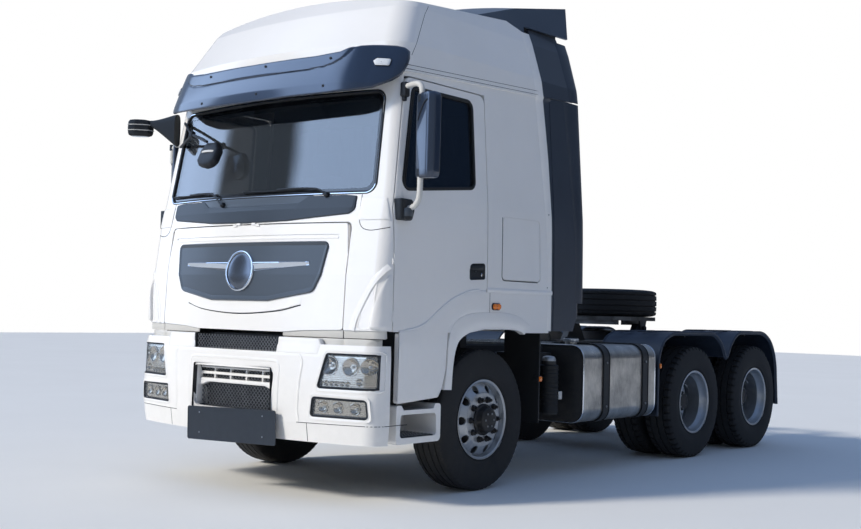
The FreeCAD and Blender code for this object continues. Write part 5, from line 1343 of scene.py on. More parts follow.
def makeMirror(side, label, spec):
    # paints: 0 slate case, 1 pale tube, 2 black foot and clamp, 3 glass, 4 grey collar
    parts = [mirrorCase(spec)]
    parts += [painted(tube(spec[k], spec["tube"], 16, steps=6), 1) for k in ("upper", "lower")]
    p = [np.array(c, float) for c in spec["case"]]
    a, b = p[4], p[5]  # the rear face runs from its outer to its inner corner
    along = (b - a) / np.linalg.norm(b - a)
    back = np.array([-along[1], along[0]])
    back = back if back[1] > 0 else -back
    width = np.linalg.norm(b - a)
    z0, z1 = spec["low"], spec["high"]
    for low, high in ((z0 + 26, z0 + 26 + (z1 - z0) * 0.26), (z0 + 40 + (z1 - z0) * 0.26, z1 - 26)):
        ring = fillet([(12, low), (width - 12, low), (width - 12, high), (12, high)], 18, 5)
        glass = stacked(ring, ((1.0, -3), (1.0, 2), (0.93, 2.6), (0.5, 3.8), (0.05, 4.2)), lambda flat, out: (
            np.column_stack([a[None] + along[None] * flat[:, :1] + back[None] * out, flat[:, 1]])))
        parts.append(painted(glass, 3))
        edge = np.array([np.append(a + along * u + back * 2, z) for u, z in ring])
        parts.append(painted(carried(edge, [(-5, -4), (-4, 3), (2, 5), (4, 0), (4, -4)],
                                     (back[0], back[1], 0), True), 2))
    # the swept crease over the case's front, and its dark seam
    front = np.array([p[1] * (1 - t) + p[2] * t for t in np.linspace(0.15, 0.95, 14)])
    outward = np.array([along[1], -along[0]])
    outward = outward if outward[1] < 0 else -outward
    zs = z0 + (z1 - z0) * (0.66 + 0.24 * np.sin(np.linspace(0.05, 1.45, 14)))
    line = np.column_stack([front + outward * 3, zs])
    parts.append(painted(carried(line, [(-5, -5), (-4, 2), (0, 4), (4, 2), (5, -5)],
                                 (outward[0], outward[1], 0)), 2))
    foot = fillet(mirrorShape["foot"]["base"], [8, 26, 20, 26, 8], 5)
    parts.append(painted(slab(foot, 1212, 1292, "x", 10), 2))
    root = np.array(spec["lower"][-1], float)
    parts.append(painted(spun([(0, 0.5), (0, 36), (5, 40), (60, 40), (66, 36), (66, 0.5)],
                              root + [22, -6, -62], "z", 32), 4))
    parts.append(painted(spun([(0, 0.5), (0, 30), (6, 40), (14, 43), (20, 43), (20, 0.5)],
                              root + [22, -6, -74], "z", 32), 2))
    top = np.array(spec["upper"][0], float)
    clamp = softBox(top - [34, 26, 70], top + [22, 26, 34], 14, 4)
    parts.append(painted(clamp, 2))
    parts.append(painted(softBox(top - [26, 14, 96], top + [4, 16, -20], 8, 3), 2))
    for z in (z0 + 40, z1 - 40):  # clips that hold the case to its tube
        spot = np.array([spec["upper"][-1][0], spec["upper"][-1][1], z])
        parts.append(painted(spun([(-24, 24), (-22, 27), (22, 27), (24, 24)], spot, "z", 24), 2))
    piece("mirror_" + label, parts, "door_" + label,
          "slateLacquer paleTube grainedBlack mirrorGlass greyAbs",
          "mirror_" + label, sharp=45, mirror=side < 0)


for side, label in bothSides:
    makeMirror(side, label, mirrorShape[label])


frontMirrorShape = {"arms": [[(-1118, -1056, 2796), (-900, -1200, 2716), (-704, -1322, 2640)],
                             [(-1120, -1092, 2598), (-900, -1214, 2618), (-704, -1322, 2634)],
                             [(-700, -1322, 2637), (-560, -1362, 2598), (-436, -1394, 2556)]],
                    "head": [(-498, 2392), (-466, 2360), (-400, 2346), (-334, 2360), (-300, 2396),
                             (-300, 2490), (-340, 2552), (-462, 2552), (-498, 2496)],
                    "pod": [(-1372, -1232), (-1372, -1156), (-1420, -1184), (-1500, -1276), (-1506, -1330),
                            (-1488, -1340), (-1440, -1312)]}


def makeCornerMirrors(spec):
    # paints: 0 black plastic, 1 glass, 2 pale lip
    parts = [tube(path, 11.5, 14) for path in spec["arms"]]
    parts.append(moved(softBox([-22, -20, -26], [22, 20, 26], 10, 3), (-702, -1322, 2637)))
    ring = fillet(spec["head"], 26, 5)
    tilt, about = turnMatrix("x", -24), (-400, -1392, 2450)
    case = ((0.4, -1428), (0.8, -1426), (0.94, -1418), (1.0, -1404), (1.0, -1380), (0.95, -1362))
    parts.append(moved(stacked(ring, case, "y", caps=True), turn=tilt, about=about))
    glass = ((0.9, -1360), (0.88, -1357), (0.5, -1352), (0.05, -1350))
    parts.append(painted(moved(stacked(ring, glass, "y"), turn=tilt, about=about), 1))
    band = [(-494, -1408, 2468), (-440, -1432, 2464), (-360, -1432, 2464), (-306, -1408, 2468)]
    lip = carried(spline(band, 6), [(-9, -3), (-8, 2), (0, 4), (8, 2), (9, -3)], (0, -1, 0))
    parts.append(painted(moved(lip, turn=tilt, about=about), 2))
    t = np.linspace(0, 1, 14)[:, None]
    a = around(24)[None]
    reach = t ** 0.9
    centre = np.stack([-1172 - 204 * reach, -1092 - 96 * reach, 2738 + 58 * reach], -1)
    wide, tall = 32 - 6 * t, (104 * (1 - t) ** 1.3 + 26)
    box = np.stack([0 * a + 0 * t, np.sign(np.cos(a)) * np.abs(np.cos(a)) ** 0.6 * wide,
                    np.sign(np.sin(a)) * np.abs(np.sin(a)) ** 0.6 * tall], -1)
    parts.append(hoops(centre + box, caps=True))
    pod = fillet(spec["pod"], [16, 16, 40, 30, 14, 14, 40], 5)
    middle = pod.mean(0)
    case = ((0.72, 2690), (0.9, 2697), (0.98, 2713), (1.02, 2758), (0.98, 2804), (0.86, 2820), (0.5, 2826))
    parts.append(stacked(pod, case, "z", middle, caps=True))
    glass = ((0.7, 2689), (0.66, 2687), (0.35, 2685), (0.04, 2684))
    parts.append(painted(stacked(pod, glass, "z", middle), 1))
    for z in (2738, 2782):
        line = placed(middle + (pod - middle) * 1.03, z, "z")
        parts.append(painted(carried(line, [(-2, -3), (-2, 3), (2, 3), (2, -3)], (0, 0, 1), True), 2))
    piece("cornerMirrors", parts, "cab",
          "grainedBlack mirrorGlass paleTube", "corner_mirrors", sharp=45)


makeCornerMirrors(frontMirrorShape)
print("mirrors made")


# doors: seals, handles and lower skins; arch bands and side swage

doorShape = {"window": [(-1080, 2150), (-250, 2236), (-250, 2884), (-938, 2884)],
             "sLine": [(-1150, 1184), (-1020, 1186), (-920, 1200), (-800, 1240), (-640, 1342), (-520, 1406),
                       (-400, 1450), (-300, 1476), (-200, 1486), (-112, 1488)],
             "crease": [(-592, 1176), (-566, 1150), (-560, 1190), (-520, 1232), (-440, 1282), (-330, 1314),
                        (-220, 1328), (-112, 1330)],
             "recess": [(-312, 1566), (-134, 1576), (-134, 1690), (-292, 1682), (-312, 1640)],
             "skirt": [(-1088, 698), (-652, 728), (-608, 791), (-577, 900), (-562, 1110), (-562, 1184)],
             "arch": [(-497, 772), (-484, 940), (-450, 1074), (-378, 1147), (-210, 1200), (-38, 1214),
                      (175, 1210), (326, 1194), (400, 1168)],
             "archOuter": [(-584, 776), (-556, 940), (-546, 1110), (-506, 1216), (-424, 1284), (-300, 1318),
                           (-74, 1332), (170, 1330), (340, 1300), (470, 1240)]}


sideWall = [1150, 1560, 1930, 2110, 3110], [1250, 1250, 1245, 1240, 1166]  # half width by height
roofWall = [2950, 3200, 3500, 3660], [1196, 1160, 1072, 1010]


def sideAt(y, z, off=0.0):
    # the cab's side by height; the corner's arc is left out because these parts lie behind it
    y, z = np.broadcast_arrays(np.asarray(y, float), np.asarray(z, float))
    return np.stack([np.interp(z, *sideWall) + off + 0 * y, y, z], -1)


def sideFlat(flat, off=0.0):
    return sideAt(flat[:, 0], flat[:, 1], off)


def sideBead(path, profile, closed=False):
    return carried(sideFlat(np.asarray(path, float)), profile, (1, 0, 0), closed)


def makeDoorTrim(side, label, spec):
    # paints: 0 enamel skins, 1 rubber, 2 black handle, 3 steel lock
    ring = dense(fillet(spec["window"], 60, 8), 40)
    parts = [painted(sideBead(ring, [(-15, -12), (-15, 1), (-11, 4), (4, 4), (9, 1), (9, -12)], True), 1)]
    channel = dense([(-930, 2868), (-1064, 2170)], 40, False)
    parts.append(painted(sideBead(channel + [14, 0], [(-6, -14), (-6, 1), (6, 1), (6, -14)]), 1))
    # skin below the swage line, down to the skirt's foot and back to the arch's crease
    top = spline(spec["sLine"][1:-1], 8)
    u = np.linspace(0, 1, 60)
    y = -1088 + (spec["sLine"][-1][0] - 2 + 1088) * u
    zTop = np.interp(y, top[:, 0], top[:, 1]) + 8
    skirt, crease = np.array(spec["skirt"], float), np.array(spec["crease"][2:], float)
    zLow = np.where(y < -562, np.interp(y, skirt[:5, 0], skirt[:5, 1]),
                    np.interp(y, crease[:, 0], crease[:, 1]))
    v = np.array([0.0, 0.0, 0.012, 0.05, 0.2, 0.4, 0.6, 0.8, 0.95, 0.988, 1.0, 1.0])[:, None]
    lift = np.array([-8, 0, 2.4, 3.4, 4.2, 4.6, 4.6, 4.2, 3.6, 2.6, 0.4, -3])[:, None]
    z = zLow[None] + (zTop - zLow)[None] * v
    bulge = 5 * np.exp(-((y[None] + 1010) / 90) ** 2 - ((z - 1100) / 120) ** 2)
    grid = sideAt(y[None] + 0 * v, z, lift + bulge)
    grid[..., 0] = np.minimum(grid[..., 0], 1258)
    parts.append(skin(grid))
    swage = [(-9, -2), (-6, 3), (0, 6.5), (5, 4.5), (9, 1), (10, -2)]
    parts.append(sideBead(dense(top[::2], 40, False) + [0, 10], swage))
    # handle: a bowl sunk into the recess, a hooded grip and the lock
    bowl = dense(fillet(spec["recess"], [16, 16, 20, 44, 30], 6), 12)
    levels = ((1.05, -3), (1.05, 1.6), (1.0, 2.2), (0.95, 0.5), (0.88, -9), (0.7, -13), (0.3, -14),
              (0.02, -14))
    parts.append(painted(stacked(bowl, levels, sideFlat), 2))
    grip = slab(fillet([(-300, 1636), (-150, 1640), (-150, 1676), (-296, 1672)], 14, 4), 1246, 1254, "x", 3)
    parts.append(painted(grip, 2))
    lock = [(1234, 12), (1244, 13), (1247, 10), (1247, 3), (1244, 0.5)]
    parts.append(painted(spun(lock, [0, -158, 1606], "x", 20), 3))
    piece("doorTrim_" + label, parts, "door_" + label,
          "whiteEnamel sealRubber grainedBlack chrome", sharp=45, mirror=side < 0)


def makeSideTrim(side, label, spec):
    # on the cab: the wheel arch's band, the rear end of the swage, the locker's lines and the side marker
    n = 90
    inner, outer = (spline(spec[k], 14) for k in ("arch", "archOuter"))
    t = np.linspace(0, 1, n)
    def even(path):
        run = np.concatenate([[0], np.cumsum(np.linalg.norm(np.diff(path, axis=0), axis=1))])
        return np.stack([np.interp(t * run[-1], run, path[:, k]) for k in (0, 1)], 1)
    inner, outer = even(inner), even(outer)
    rows = []
    for k, off in ((0.0, -46), (0.0, -6), (0.02, 1.5), (0.1, 4.4), (0.5, 5.6), (0.9, 4.4), (0.985, 2.5),
                   (1.0, -1), (1.0, -34)):
        fade = np.where(t > 0.9, (1 - t) * 10, 1.0) if off > 0 else 1.0
        rows.append(sideFlat(inner * (1 - k) + outer * k, off * fade))
    parts = [skin(rows)]
    rear = dense([(-104, 1487), (640, 1490), (764, 1491)], 60, False)
    parts.append(sideBead(rear + [0, 8], [(-20, -2), (-16, 4), (0, 7.5), (14, 4.5), (19, -2)]))
    parts.append(painted(sideBead(dense([(-63, 1326), (-63, 1478)], 40, False), hairline(2, 0.6)), 1))
    locker = np.array([(86, 2052), (84, 1600), (96, 1580), (120, 1574), (560, 1574)], float)
    parts.append(painted(sideBead(dense(locker, 40, False), hairline(3, 0.7)), 1))
    lamp = fillet([(-34, 1352), (62, 1352), (62, 1400), (-34, 1400)], 20, 5)
    parts.append(painted(stacked(lamp, ((1.12, -1), (1.12, 5.6), (1.0, 7.4), (0.56, 8), (0.02, 8)),
                                 sideFlat), 1))
    lens = [(1256, 22), (1268, 21.5), (1273, 17), (1275, 9), (1275, 0.5)]
    for y in (-9, 37):  # two round lenses on one foot
        parts.append(painted(spun(lens, [0, y, 1376], "x", 28), 2))
    for y, z in ((700, 1540), (700, 2120)):
        parts.append(painted(spun([(1248, 6), (1251, 6), (1252, 4), (1252, 0.5)], [0, y, z], "x", 12), 3))
    # the enamel's rear return, the slate filler that meets the fairing, and painted shade along the creases
    # above the seam
    z = np.linspace(1196, 3590, 110)
    rear = np.interp(z, [1150, 1560, 1930, 2110, 3110, 3500, 3660], [772, 768, 748, 734, 642, 620, 610])
    edge = np.interp(z, [1190, 2012, 2245, 2566, 2886, 3071, 3590], [768, 763, 755, 744, 716, 697, 676])
    meets = np.where(z < 3066, 800, 682)
    wall = np.where(z < 3050, np.interp(z, *sideWall), np.interp(z, *roofWall))
    for index, rows in ((0, ((rear - 66, -3), (rear - 62, 0.8), (edge - 9, 1.2), (edge - 2, -1.5), (edge, -6),
                             (edge, -30))),
                        (4, ((edge - 4, -16), (edge - 2, -3), (meets, -3), (meets, -16)))):
        parts.append(painted(skin([np.stack([wall + off, y + 0 * z, z], -1) for y, off in rows]), index))
    # the fairings' rear edges, square where the solids' corners are round
    for low, high, wall, starts, back in ((1425, 3082, sideWall, [1122, 1118, 1098, 1084, 992], 1234),
                                          (3094, 3600, roofWall, [1090, 1070, 1050, 1036], 1222)):
        z = np.linspace(low, high, 60)
        half, start = np.interp(z, *wall), np.interp(z, wall[0], starts)
        rows = ((start - 10, -6), (start, 0.7), (back - 40, 0.4), (back - 8, -2), (back, -7), (back - 8, -14),
                (start, -13))
        parts.append(painted(skin([np.stack([half + off, y + 0 * z, z], -1) for y, off in rows]), 4))
    y = np.linspace(-1020, 640, 50)
    lines = [np.column_stack([y, 2985 + 0.047 * (y + 980) + lift]) for lift in (16, 46)]
    lines.append(dense([(-941, 3107), (-704, 3459), (-640, 3530)], 40, False))
    # the two crease lines are near black: painted shade in the creases; the third line is the roof's front
    # joint
    for line in lines:  # creases above the seam, and the roof's front joint
        x = np.interp(line[:, 1], *roofWall) + 0.2
        parts.append(painted(carried(np.column_stack([x, line]), hairline(1.6, 0.7), (1, 0, 0.2)), 1))
    cheek = [(-10, 3590), (500, 3560), (1150, 3590), (1160, 3740), (480, 3730)]
    parts.append(painted(slab(fillet(cheek, 12), 962, 974, "x", 2), 1))
    piece("sideTrim_" + label, parts, "cab",
          "whiteEnamel sealRubber amberLens zincSteel slateSatin", sharp=45, mirror=side < 0)


for side, label in bothSides:
    makeDoorTrim(side, label, doorShape)
    makeSideTrim(side, label, doorShape)
print("doors and sides trimmed")


# cab inside: dash, wheel, bunk, dark lining and curtain, padded seats and mattress

cabinShape = {"dash": [(-1186, 1704), (-940, 1652), (-836, 1890), (-856, 1990), (-912, 2046), (-1176, 2104)],
              "seatX": 640, "wheelAt": (640, -820, 2030), "wheelRadius": 225,
              "curtain": {"y": 186, "half": 1090, "low": 1934, "high": 2872, "fold": 26, "pitch": 128},
              "padVoxel": 0.021, "padCap": 0.012}


def makeDash(spec):
    # paints: 0 warm vinyl, 1 black mouldings, 2 weave-dark lining, 3 chrome rings
    section = fillet(spec["dash"], [20, 50, 50, 40, 50, 20], 6)
    x = np.concatenate([[-1120, -1116, -1104], np.linspace(-1080, 1080, 70), [1104, 1116, 1120]])[:, None]
    shrink = 1 - 0.12 * np.clip((np.abs(x) - 1090) / 30, 0, 1) ** 2
    middle = section.mean(0)
    y = middle[0] + (section[None, :, 0] - middle[0]) * shrink
    z = middle[1] + (section[None, :, 1] - middle[1]) * shrink
    hood = np.exp(-((x - 640) / 210) ** 4) * np.clip((z - 1880) / 120, 0, 1) * np.clip((y + 1150) / 200, 0, 1)
    sweep = 22 * np.exp(-((x - 60) / 240) ** 2) * np.clip((y + 1000) / 120, 0, 1)
    z = z + 40 * hood - 14 * np.cos(x / 420) ** 2 * (z > 1990)
    parts = [hoops(np.stack([x + 0 * y, y + sweep, z], -1), caps=True)]
    for at, wide, low, high in ((640, 190, 1910, 2030), (150, 120, 1880, 2000), (150, 90, 1740, 1850)):
        parts.append(painted(moved(softBox([at - wide, -12, low], [at + wide, 8, high], 10, 3),
                                   (0, -828, 0)), 1))
    for at in (-960, -420, 330, 960):  # air vents: a round rim with three vanes
        rim = spun([(0, 52), (8, 50), (8, 42), (-14, 40), (-14, 0.5)], (at, -834, 1930), "y", 28)
        parts.append(painted(rim, 1))
        for lift in (-20, 0, 20):
            vane = softBox([at - 38, -836, 1927 + lift], [at + 38, -826, 1933 + lift], 2, 2)
            parts.append(painted(vane, 1))
    for at in (560, 720):
        parts.append(painted(spun([(0, 56), (6, 54), (6, 49), (0, 47)], (at, -818, 1972), "y", 32), 3))
    wheel = np.array(spec["wheelAt"], float)
    a = around(64)
    tilt = turnMatrix("x", -30)
    rim = np.stack([np.cos(a), np.sin(a), 0 * a], -1) * spec["wheelRadius"] @ tilt.T + wheel
    parts.append(painted(carried(rim, [(15 * math.cos(q), 15 * math.sin(q)) for q in np.arange(0, 6.2, 0.7)],
                                 tuple(tilt[:, 2]), True), 1))
    for angle in (20, 160, 270):
        d = np.array([math.cos(math.radians(angle)), math.sin(math.radians(angle)), 0])
        line = [wheel + tilt @ (d * r + [0, 0, h]) for r, h in ((50, -24), (120, -16), (216, 0))]
        parts.append(painted(carried(spline(line, 4), [(-22, -5), (-20, 5), (20, 5), (22, -5)],
                                     tuple(tilt[:, 2])), 1))
    hub = spun([(-40, 40), (-36, 62), (-6, 70), (2, 60), (4, 0.5)], (0, 0, 0), "z", 32)
    parts.append(painted(moved(hub, wheel, tilt), 1))
    column = spun([(-330, 0.5), (-330, 34), (-40, 38)], (0, 0, 0), "z", 24)
    parts.append(painted(moved(column, wheel, tilt), 1))
    # bunk box with its lid line, seat bases and bellows
    parts.append(painted(softBox([-1148, 122, 1402], [1148, 658, 1778], 16, 3), 2))
    parts.append(painted(softBox([-1120, 114, 1690], [1120, 124, 1704], 4, 2), 1))
    for side in (-1, 1):
        at = side * spec["seatX"]
        parts.append(painted(softBox([at - 205, -470, 1402], [at + 205, -70, 1560], 18, 3), 1))
        fold = [(1560 + 14 * i, 188 if i % 2 else 204) for i in range(10)]
        flat = fillet([(at - 200, -460), (at + 200, -460), (at + 200, -80), (at - 200, -80)], 30, 4)
        mid = flat.mean(0)
        rows = [placed(mid + (flat - mid) * half / 204, lift, "z") for lift, half in fold]
        parts.append(painted(hoops(rows, caps=True), 1))
    piece("dashboard", parts, "cab",
          "dashVinyl grainedBlack liningFelt chrome", "cab_interior", sharp=40)


def makeLining(spec):
    # the back wall, the sides behind the doors, the ceiling and the shelf over the windscreen
    z = np.array([1404, 1560, 1930, 2110, 2600, 2970, 3200, 3400, 3436.0])[:, None]
    levels = [1150, 1560, 1930, 2110, 2980, 3200, 3500]
    half = np.interp(z, levels, [1250, 1250, 1245, 1240, 1176, 1160, 1072]) - 56
    rear = np.interp(z, levels, [772, 768, 748, 734, 655, 640, 620]) - 56
    u = np.linspace(-1, 1, 61)[None]
    x = half * np.clip(u * 1.9, -1, 1)
    y = np.where(np.abs(u) < 0.5263, rear, rear - (np.abs(u) - 0.5263) / 0.4737 * (rear + 84))
    parts = [skin(np.stack([x, y, z + 0 * x], -1), flip=True)]
    parts.append(skin([np.stack([x[-1] * k, y[-1], 0 * x[-1] + level], -1)
                       for k, level in ((1, 3436.0), (0.6, 3452), (0.2, 3456))]))
    parts.append(softBox([-1070, -1040, 2892], [1070, -640, 3010], 30, 4))
    rail = spec["curtain"]
    rod = softBox([-rail["half"], rail["y"] - 14, 2874], [rail["half"], rail["y"] + 14, 2892], 5, 2)
    parts.append(painted(rod, 1))
    for side in (-1, 1):  # brackets from the rail to the side walls
        parts.append(painted(softBox([side * 1084, rail["y"] - 10, 2876], [side * 1128, rail["y"] + 10, 2890],
                                     4, 2), 1))
        locker = softBox([side * 520 - 200, -1060, 2840], [side * 520 + 200, -1044, 2896], 6, 2)
        parts.append(painted(locker, 1))
    piece("cabLining", parts, "cab", "liningFelt grainedBlack", recalc=False)


def makeCurtain(spec):
    # cloth in even folds: depth follows a rounded wave of the distance along the rail, fuller at the foot
    n = 340
    x = np.linspace(-spec["half"], spec["half"], n)[None]
    t = np.linspace(0, 1, 40)[:, None]
    wave = np.sin(2 * np.pi * x / spec["pitch"] + 0.7 * np.sin(x / 310.0) + 0.15 * np.sin(5 * t))
    depth = spec["fold"] * (0.72 + 0.28 * t) * np.sign(wave) * np.abs(wave) ** 0.75
    z = spec["high"] + (spec["low"] - spec["high"]) * t
    grid = np.stack([x + 0 * t, spec["y"] + depth, z + 0 * x], -1)
    made = piece("cabCurtain", [skin(grid)], "cab", "curtainCloth", recalc=False, sharp=180)


def plumped(made, cap, frames=20):
    # air pressure swells the pad from inside for a moment, and no point may move further than the cap
    scene = bpy.context.scene
    bpy.context.view_layer.objects.active = made
    cloth = made.modifiers.new("plump", "CLOTH")
    cloth.settings.use_pressure = True
    cloth.settings.uniform_pressure_force = 4.0
    cloth.settings.effector_weights.gravity = 0.0
    cloth.point_cache.frame_start, cloth.point_cache.frame_end = 1, frames
    for frame in range(1, frames + 1):
        scene.frame_set(frame)
    swollen = made.evaluated_get(bpy.context.evaluated_depsgraph_get()).data
    after = np.empty(len(swollen.vertices) * 3)
    swollen.vertices.foreach_get("co", after)
    before = np.empty_like(after)
    made.data.vertices.foreach_get("co", before)
    step = (after - before).reshape(-1, 3)
    far = np.maximum(np.linalg.norm(step, axis=1, keepdims=True), 1e-9)
    made.modifiers.remove(cloth)
    made.data.vertices.foreach_set("co", (before.reshape(-1, 3) + step * np.minimum(1, cap / far)).ravel())
    made.data.update()
    scene.frame_set(1)


def makePads(spec):
    # each seat is cushion, back and head; the mattress is one long pad
    jobs = [("mattress", [softBox([-1118, 136, 1792], [1118, 632, 1892], 44, 5)])]
    for side, label in bothSides:
        at = side * spec["seatX"]
        cushion = moved(softBox([at - 236, -530, 1712], [at + 236, -40, 1832], 46, 5), (0, 0, 0),
                        turnMatrix("x", -1.5), (at, -280, 1770))
        bolsters = [softBox([at + shift - 36, -500, 1740], [at + shift + 36, -70, 1858], 34, 5)
                    for shift in (-205, 205)]
        back = [softBox([at - 226, -62, 1842], [at + 226, 62, 2464], 48, 5)]
        back += [softBox([at + shift - 34, -92, 1880], [at + shift + 34, 30, 2380], 32, 5)
                 for shift in (-196, 196)]
        back = [moved(p, (0, 18, 0), turnMatrix("x", -4.5), (at, 0, 1842)) for p in back]
        head = moved(softBox([at - 128, -40, 2492], [at + 128, 50, 2672], 38, 5), (0, 66, 0))
        jobs.append(("seat_" + label, [cushion] + bolsters + back + [head]))
    for name, parts in jobs:
        made = piece(name, parts, "cab",
                     "mattressTicking" if name == "mattress" else "seatWeave", recalc=True, sharp=180)
        remesh = made.modifiers.new("skin", "REMESH")
        remesh.mode, remesh.voxel_size = "VOXEL", spec["padVoxel"]
        smooth = made.modifiers.new("relax", "SMOOTH")
        smooth.factor, smooth.iterations = 0.5, 5
        old = made.data
        made.data = bpy.data.meshes.new_from_object(made.evaluated_get(bpy.context.evaluated_depsgraph_get()))
        made.modifiers.clear()
        bpy.data.meshes.remove(old)
        made.data.name = name
        plumped(made, spec["padCap"])
        made.data.polygons.foreach_set("use_smooth", np.ones(len(made.data.polygons), bool))
        finer = made.modifiers.new("finer", "SUBSURF")
        finer.levels = finer.render_levels = 1


makeDash(cabinShape)
makeLining(cabinShape)
makeCurtain(cabinShape["curtain"])
makePads(cabinShape)
print("cab fitted out")


# mudguards, tank and air unit, steps, tail lamps, chassis fasteners and deck

rearShape = {"guard": [(2548, 430), (2558, 960), (2650, 1126), (2850, 1194), (3700, 1194), (3880, 1085),
                       (3975, 930), (4070, 1085), (4240, 1206), (4850, 1206), (5070, 1110), (5190, 900),
                       (5236, 430)],
             "guardRadius": [0, 500, 380, 420, 320, 300, 26, 300, 320, 420, 380, 500, 0],
             "ribs": [(2700, 3760, 1194), (4190, 5000, 1206)], "ribPitch": 104, "tank": (1290, 2500),
             "tankEnd": [(0.985, 1), (0.975, 5), (0.93, 4), (0.9, 9), (0.5, 12), (0.1, 13)],
             "straps": (1600, 2270), "railBolts": (-980, 5380, 152), "rail": 430}


def sideLens(centre, size, footPaint=1, lensPaint=2):
    # a small marker: black foot and a lens with rounded edges, standing out along x
    x, y, z = centre
    w, h = size
    sign = 1 if x > 0 else -1
    foot = softBox([x, y - w / 2 - 4, z - h / 2 - 4], [x + sign * 6, y + w / 2 + 4, z + h / 2 + 4], 3, 2)
    lens = softBox([x + sign * 4, y - w / 2, z - h / 2], [x + sign * 18, y + w / 2, z + h / 2], 7, 4)
    return [painted(foot, footPaint), painted(lens, lensPaint)]


def makeMudguard(side, label, spec, replaced=()):
    # paints: 0 polypropylene, 1 black bracket and bolts, 2 amber lens
    p = np.array(spec["guard"], float)
    bends = fillet(p, spec["guardRadius"], 9)[9:-9]
    path = np.vstack([p[:1], bends, p[-1:]])
    line = np.insert(dense(path, 60, False), 0, 0.0, axis=1)
    sheet = [(0, 602), (0, 1222), (-5, 1230), (-8, 1238), (-6, 1245), (2, 1249), (14, 1249), (20, 1244),
             (24, 1236), (30, 1232), (30, 1226), (20, 1226), (9, 1222), (9, 602)]
    parts = [carried(line, sheet, (1, 0, 0))]
    parts.append(carried(line, [(-5, 606), (-7, 612), (-5, 618), (0, 620), (0, 604)], (1, 0, 0)))
    for y0, y1, z in spec["ribs"]:
        for y in np.arange(y0 + 60, y1 - 40, spec["ribPitch"]):
            for x in (760, 1010):
                parts.append(moved(softBox([-96, -8, -4], [96, 8, 7], 4, 2), (x, y, z), turnMatrix("z", 38)))
    for y in (3300, 4650):
        z = 1174 if y < 4000 else 1186
        arm = [(434, y, 1000), (442, y, 1090), (480, y, z - 26), (560, y, z - 14), (1120, y, z - 14)]
        parts.append(painted(tube(arm, 17, 14), 1))
        parts.append(painted(softBox([431, y - 46, 950], [447, y + 46, 1050], 4, 2), 1))
        for x in (700, 1080):
            parts.append(painted(softBox([x - 30, y - 24, z - 20], [x + 30, y + 24, z + 6], 5, 2), 1))
    parts += sideLens((1247, 2572, 887), (26, 44))
    piece("mudguard_" + label, parts, "chassis",
          "mudguardPolypropylene chassisEnamel amberLens", replaced, sharp=40, mirror=side < 0)


def makeTankTrim(spec):
    # paints: 0 ends in painted shade, 1 black rubber, 2 chrome bead, 3 zinc, 4 satin silver, 5 amber, 6 pale
    # blank plate
    outline = fillet([(640, 432), (1238, 432), (1238, 1078), (640, 1078)], 115, 9)
    middle = outline.mean(0)
    parts = []
    front, rear = spec["tank"]
    # the domed ends are near black: painted shade and a painted dark reflection on the tank's aluminium ends
    for y, sign in ((front, -1), (rear, 1)):
        levels = [(k, y + sign * out) for k, out in spec["tankEnd"]]
        cap = stacked(outline, levels, "y", middle)
        cap[1].append((len(levels) - 1) * len(outline) + np.arange(len(outline))[None, :])
        parts.append(cap)
        ring = placed(outline, y + sign * 1.0, "y")
        oval = [(4.5 * math.cos(q), 7 * math.sin(q)) for q in np.arange(0, 6.2, 0.8)]
        parts.append(painted(carried(ring, oval, (0, 1, 0), True), 2))
    for at in spec["straps"]:
        for edge in (at - 3, at + 91):
            ring = placed(middle + (outline - middle) * [1.021, 1.019], edge, "y")
            parts.append(painted(carried(ring, [(-5, -5), (-5, 5), (4, 6), (4, -6)], (0, 1, 0), True), 1))
        for lift in (560, 930):  # strap bolts
            bolt = spun([(0, 11), (7, 11), (9, 8), (9, 0.5)], (1246, at + 44, lift), "x", 6)
            parts.append(painted(bolt, 3))
    cap = [(0, 66), (4, 68), (22, 68), (27, 60), (29, 30), (31, 0.5)]
    parts.append(painted(spun(cap, (960, front + 230, 1102), "z", 36), 4))
    parts.append(painted(softBox([900, front + 222, 1126], [1020, front + 238, 1142], 5, 2), 1))
    can = [(-380, 0.5), (-380, 70), (-368, 82), (-330, 82), (-326, 79)]
    for i in range(9):
        at = -300 + i * 34
        can += [(at, 79), (at + 4, 83), (at + 12, 83), (at + 16, 79)]
    can += [(0, 82), (14, 80), (22, 66), (22, 0.5)]
    parts.append(painted(spun(can, (1090, 985, 900), "z", 40), 1))
    lid = [(14, 48), (34, 58), (66, 60), (86, 46), (92, 20), (92, 0.5)]
    parts.append(painted(spun(lid, (1090, 985, 900), "z", 32), 4))
    parts.append(painted(softBox([1164, 1018, 640], [1175, 1064, 704], 3, 2), 6))
    for y, z, r in ((860, 1012, 26), (1110, 1012, 32), (1190, 1012, 22)):
        parts.append(painted(spun([(0, r), (40, r), (52, r * 0.7), (56, 0.5)], (860, y, z - 4), "z", 24), 1))
        parts.append(painted(spun([(50, 9), (70, 9), (74, 6), (74, 0.5)], (860, y, z - 4), "z", 8), 3))
    piece("tankTrim", parts, "chassis",
          "chassisEnamel sealRubber chrome zincSteel rimSilver amberLens paleTube", sharp=40)


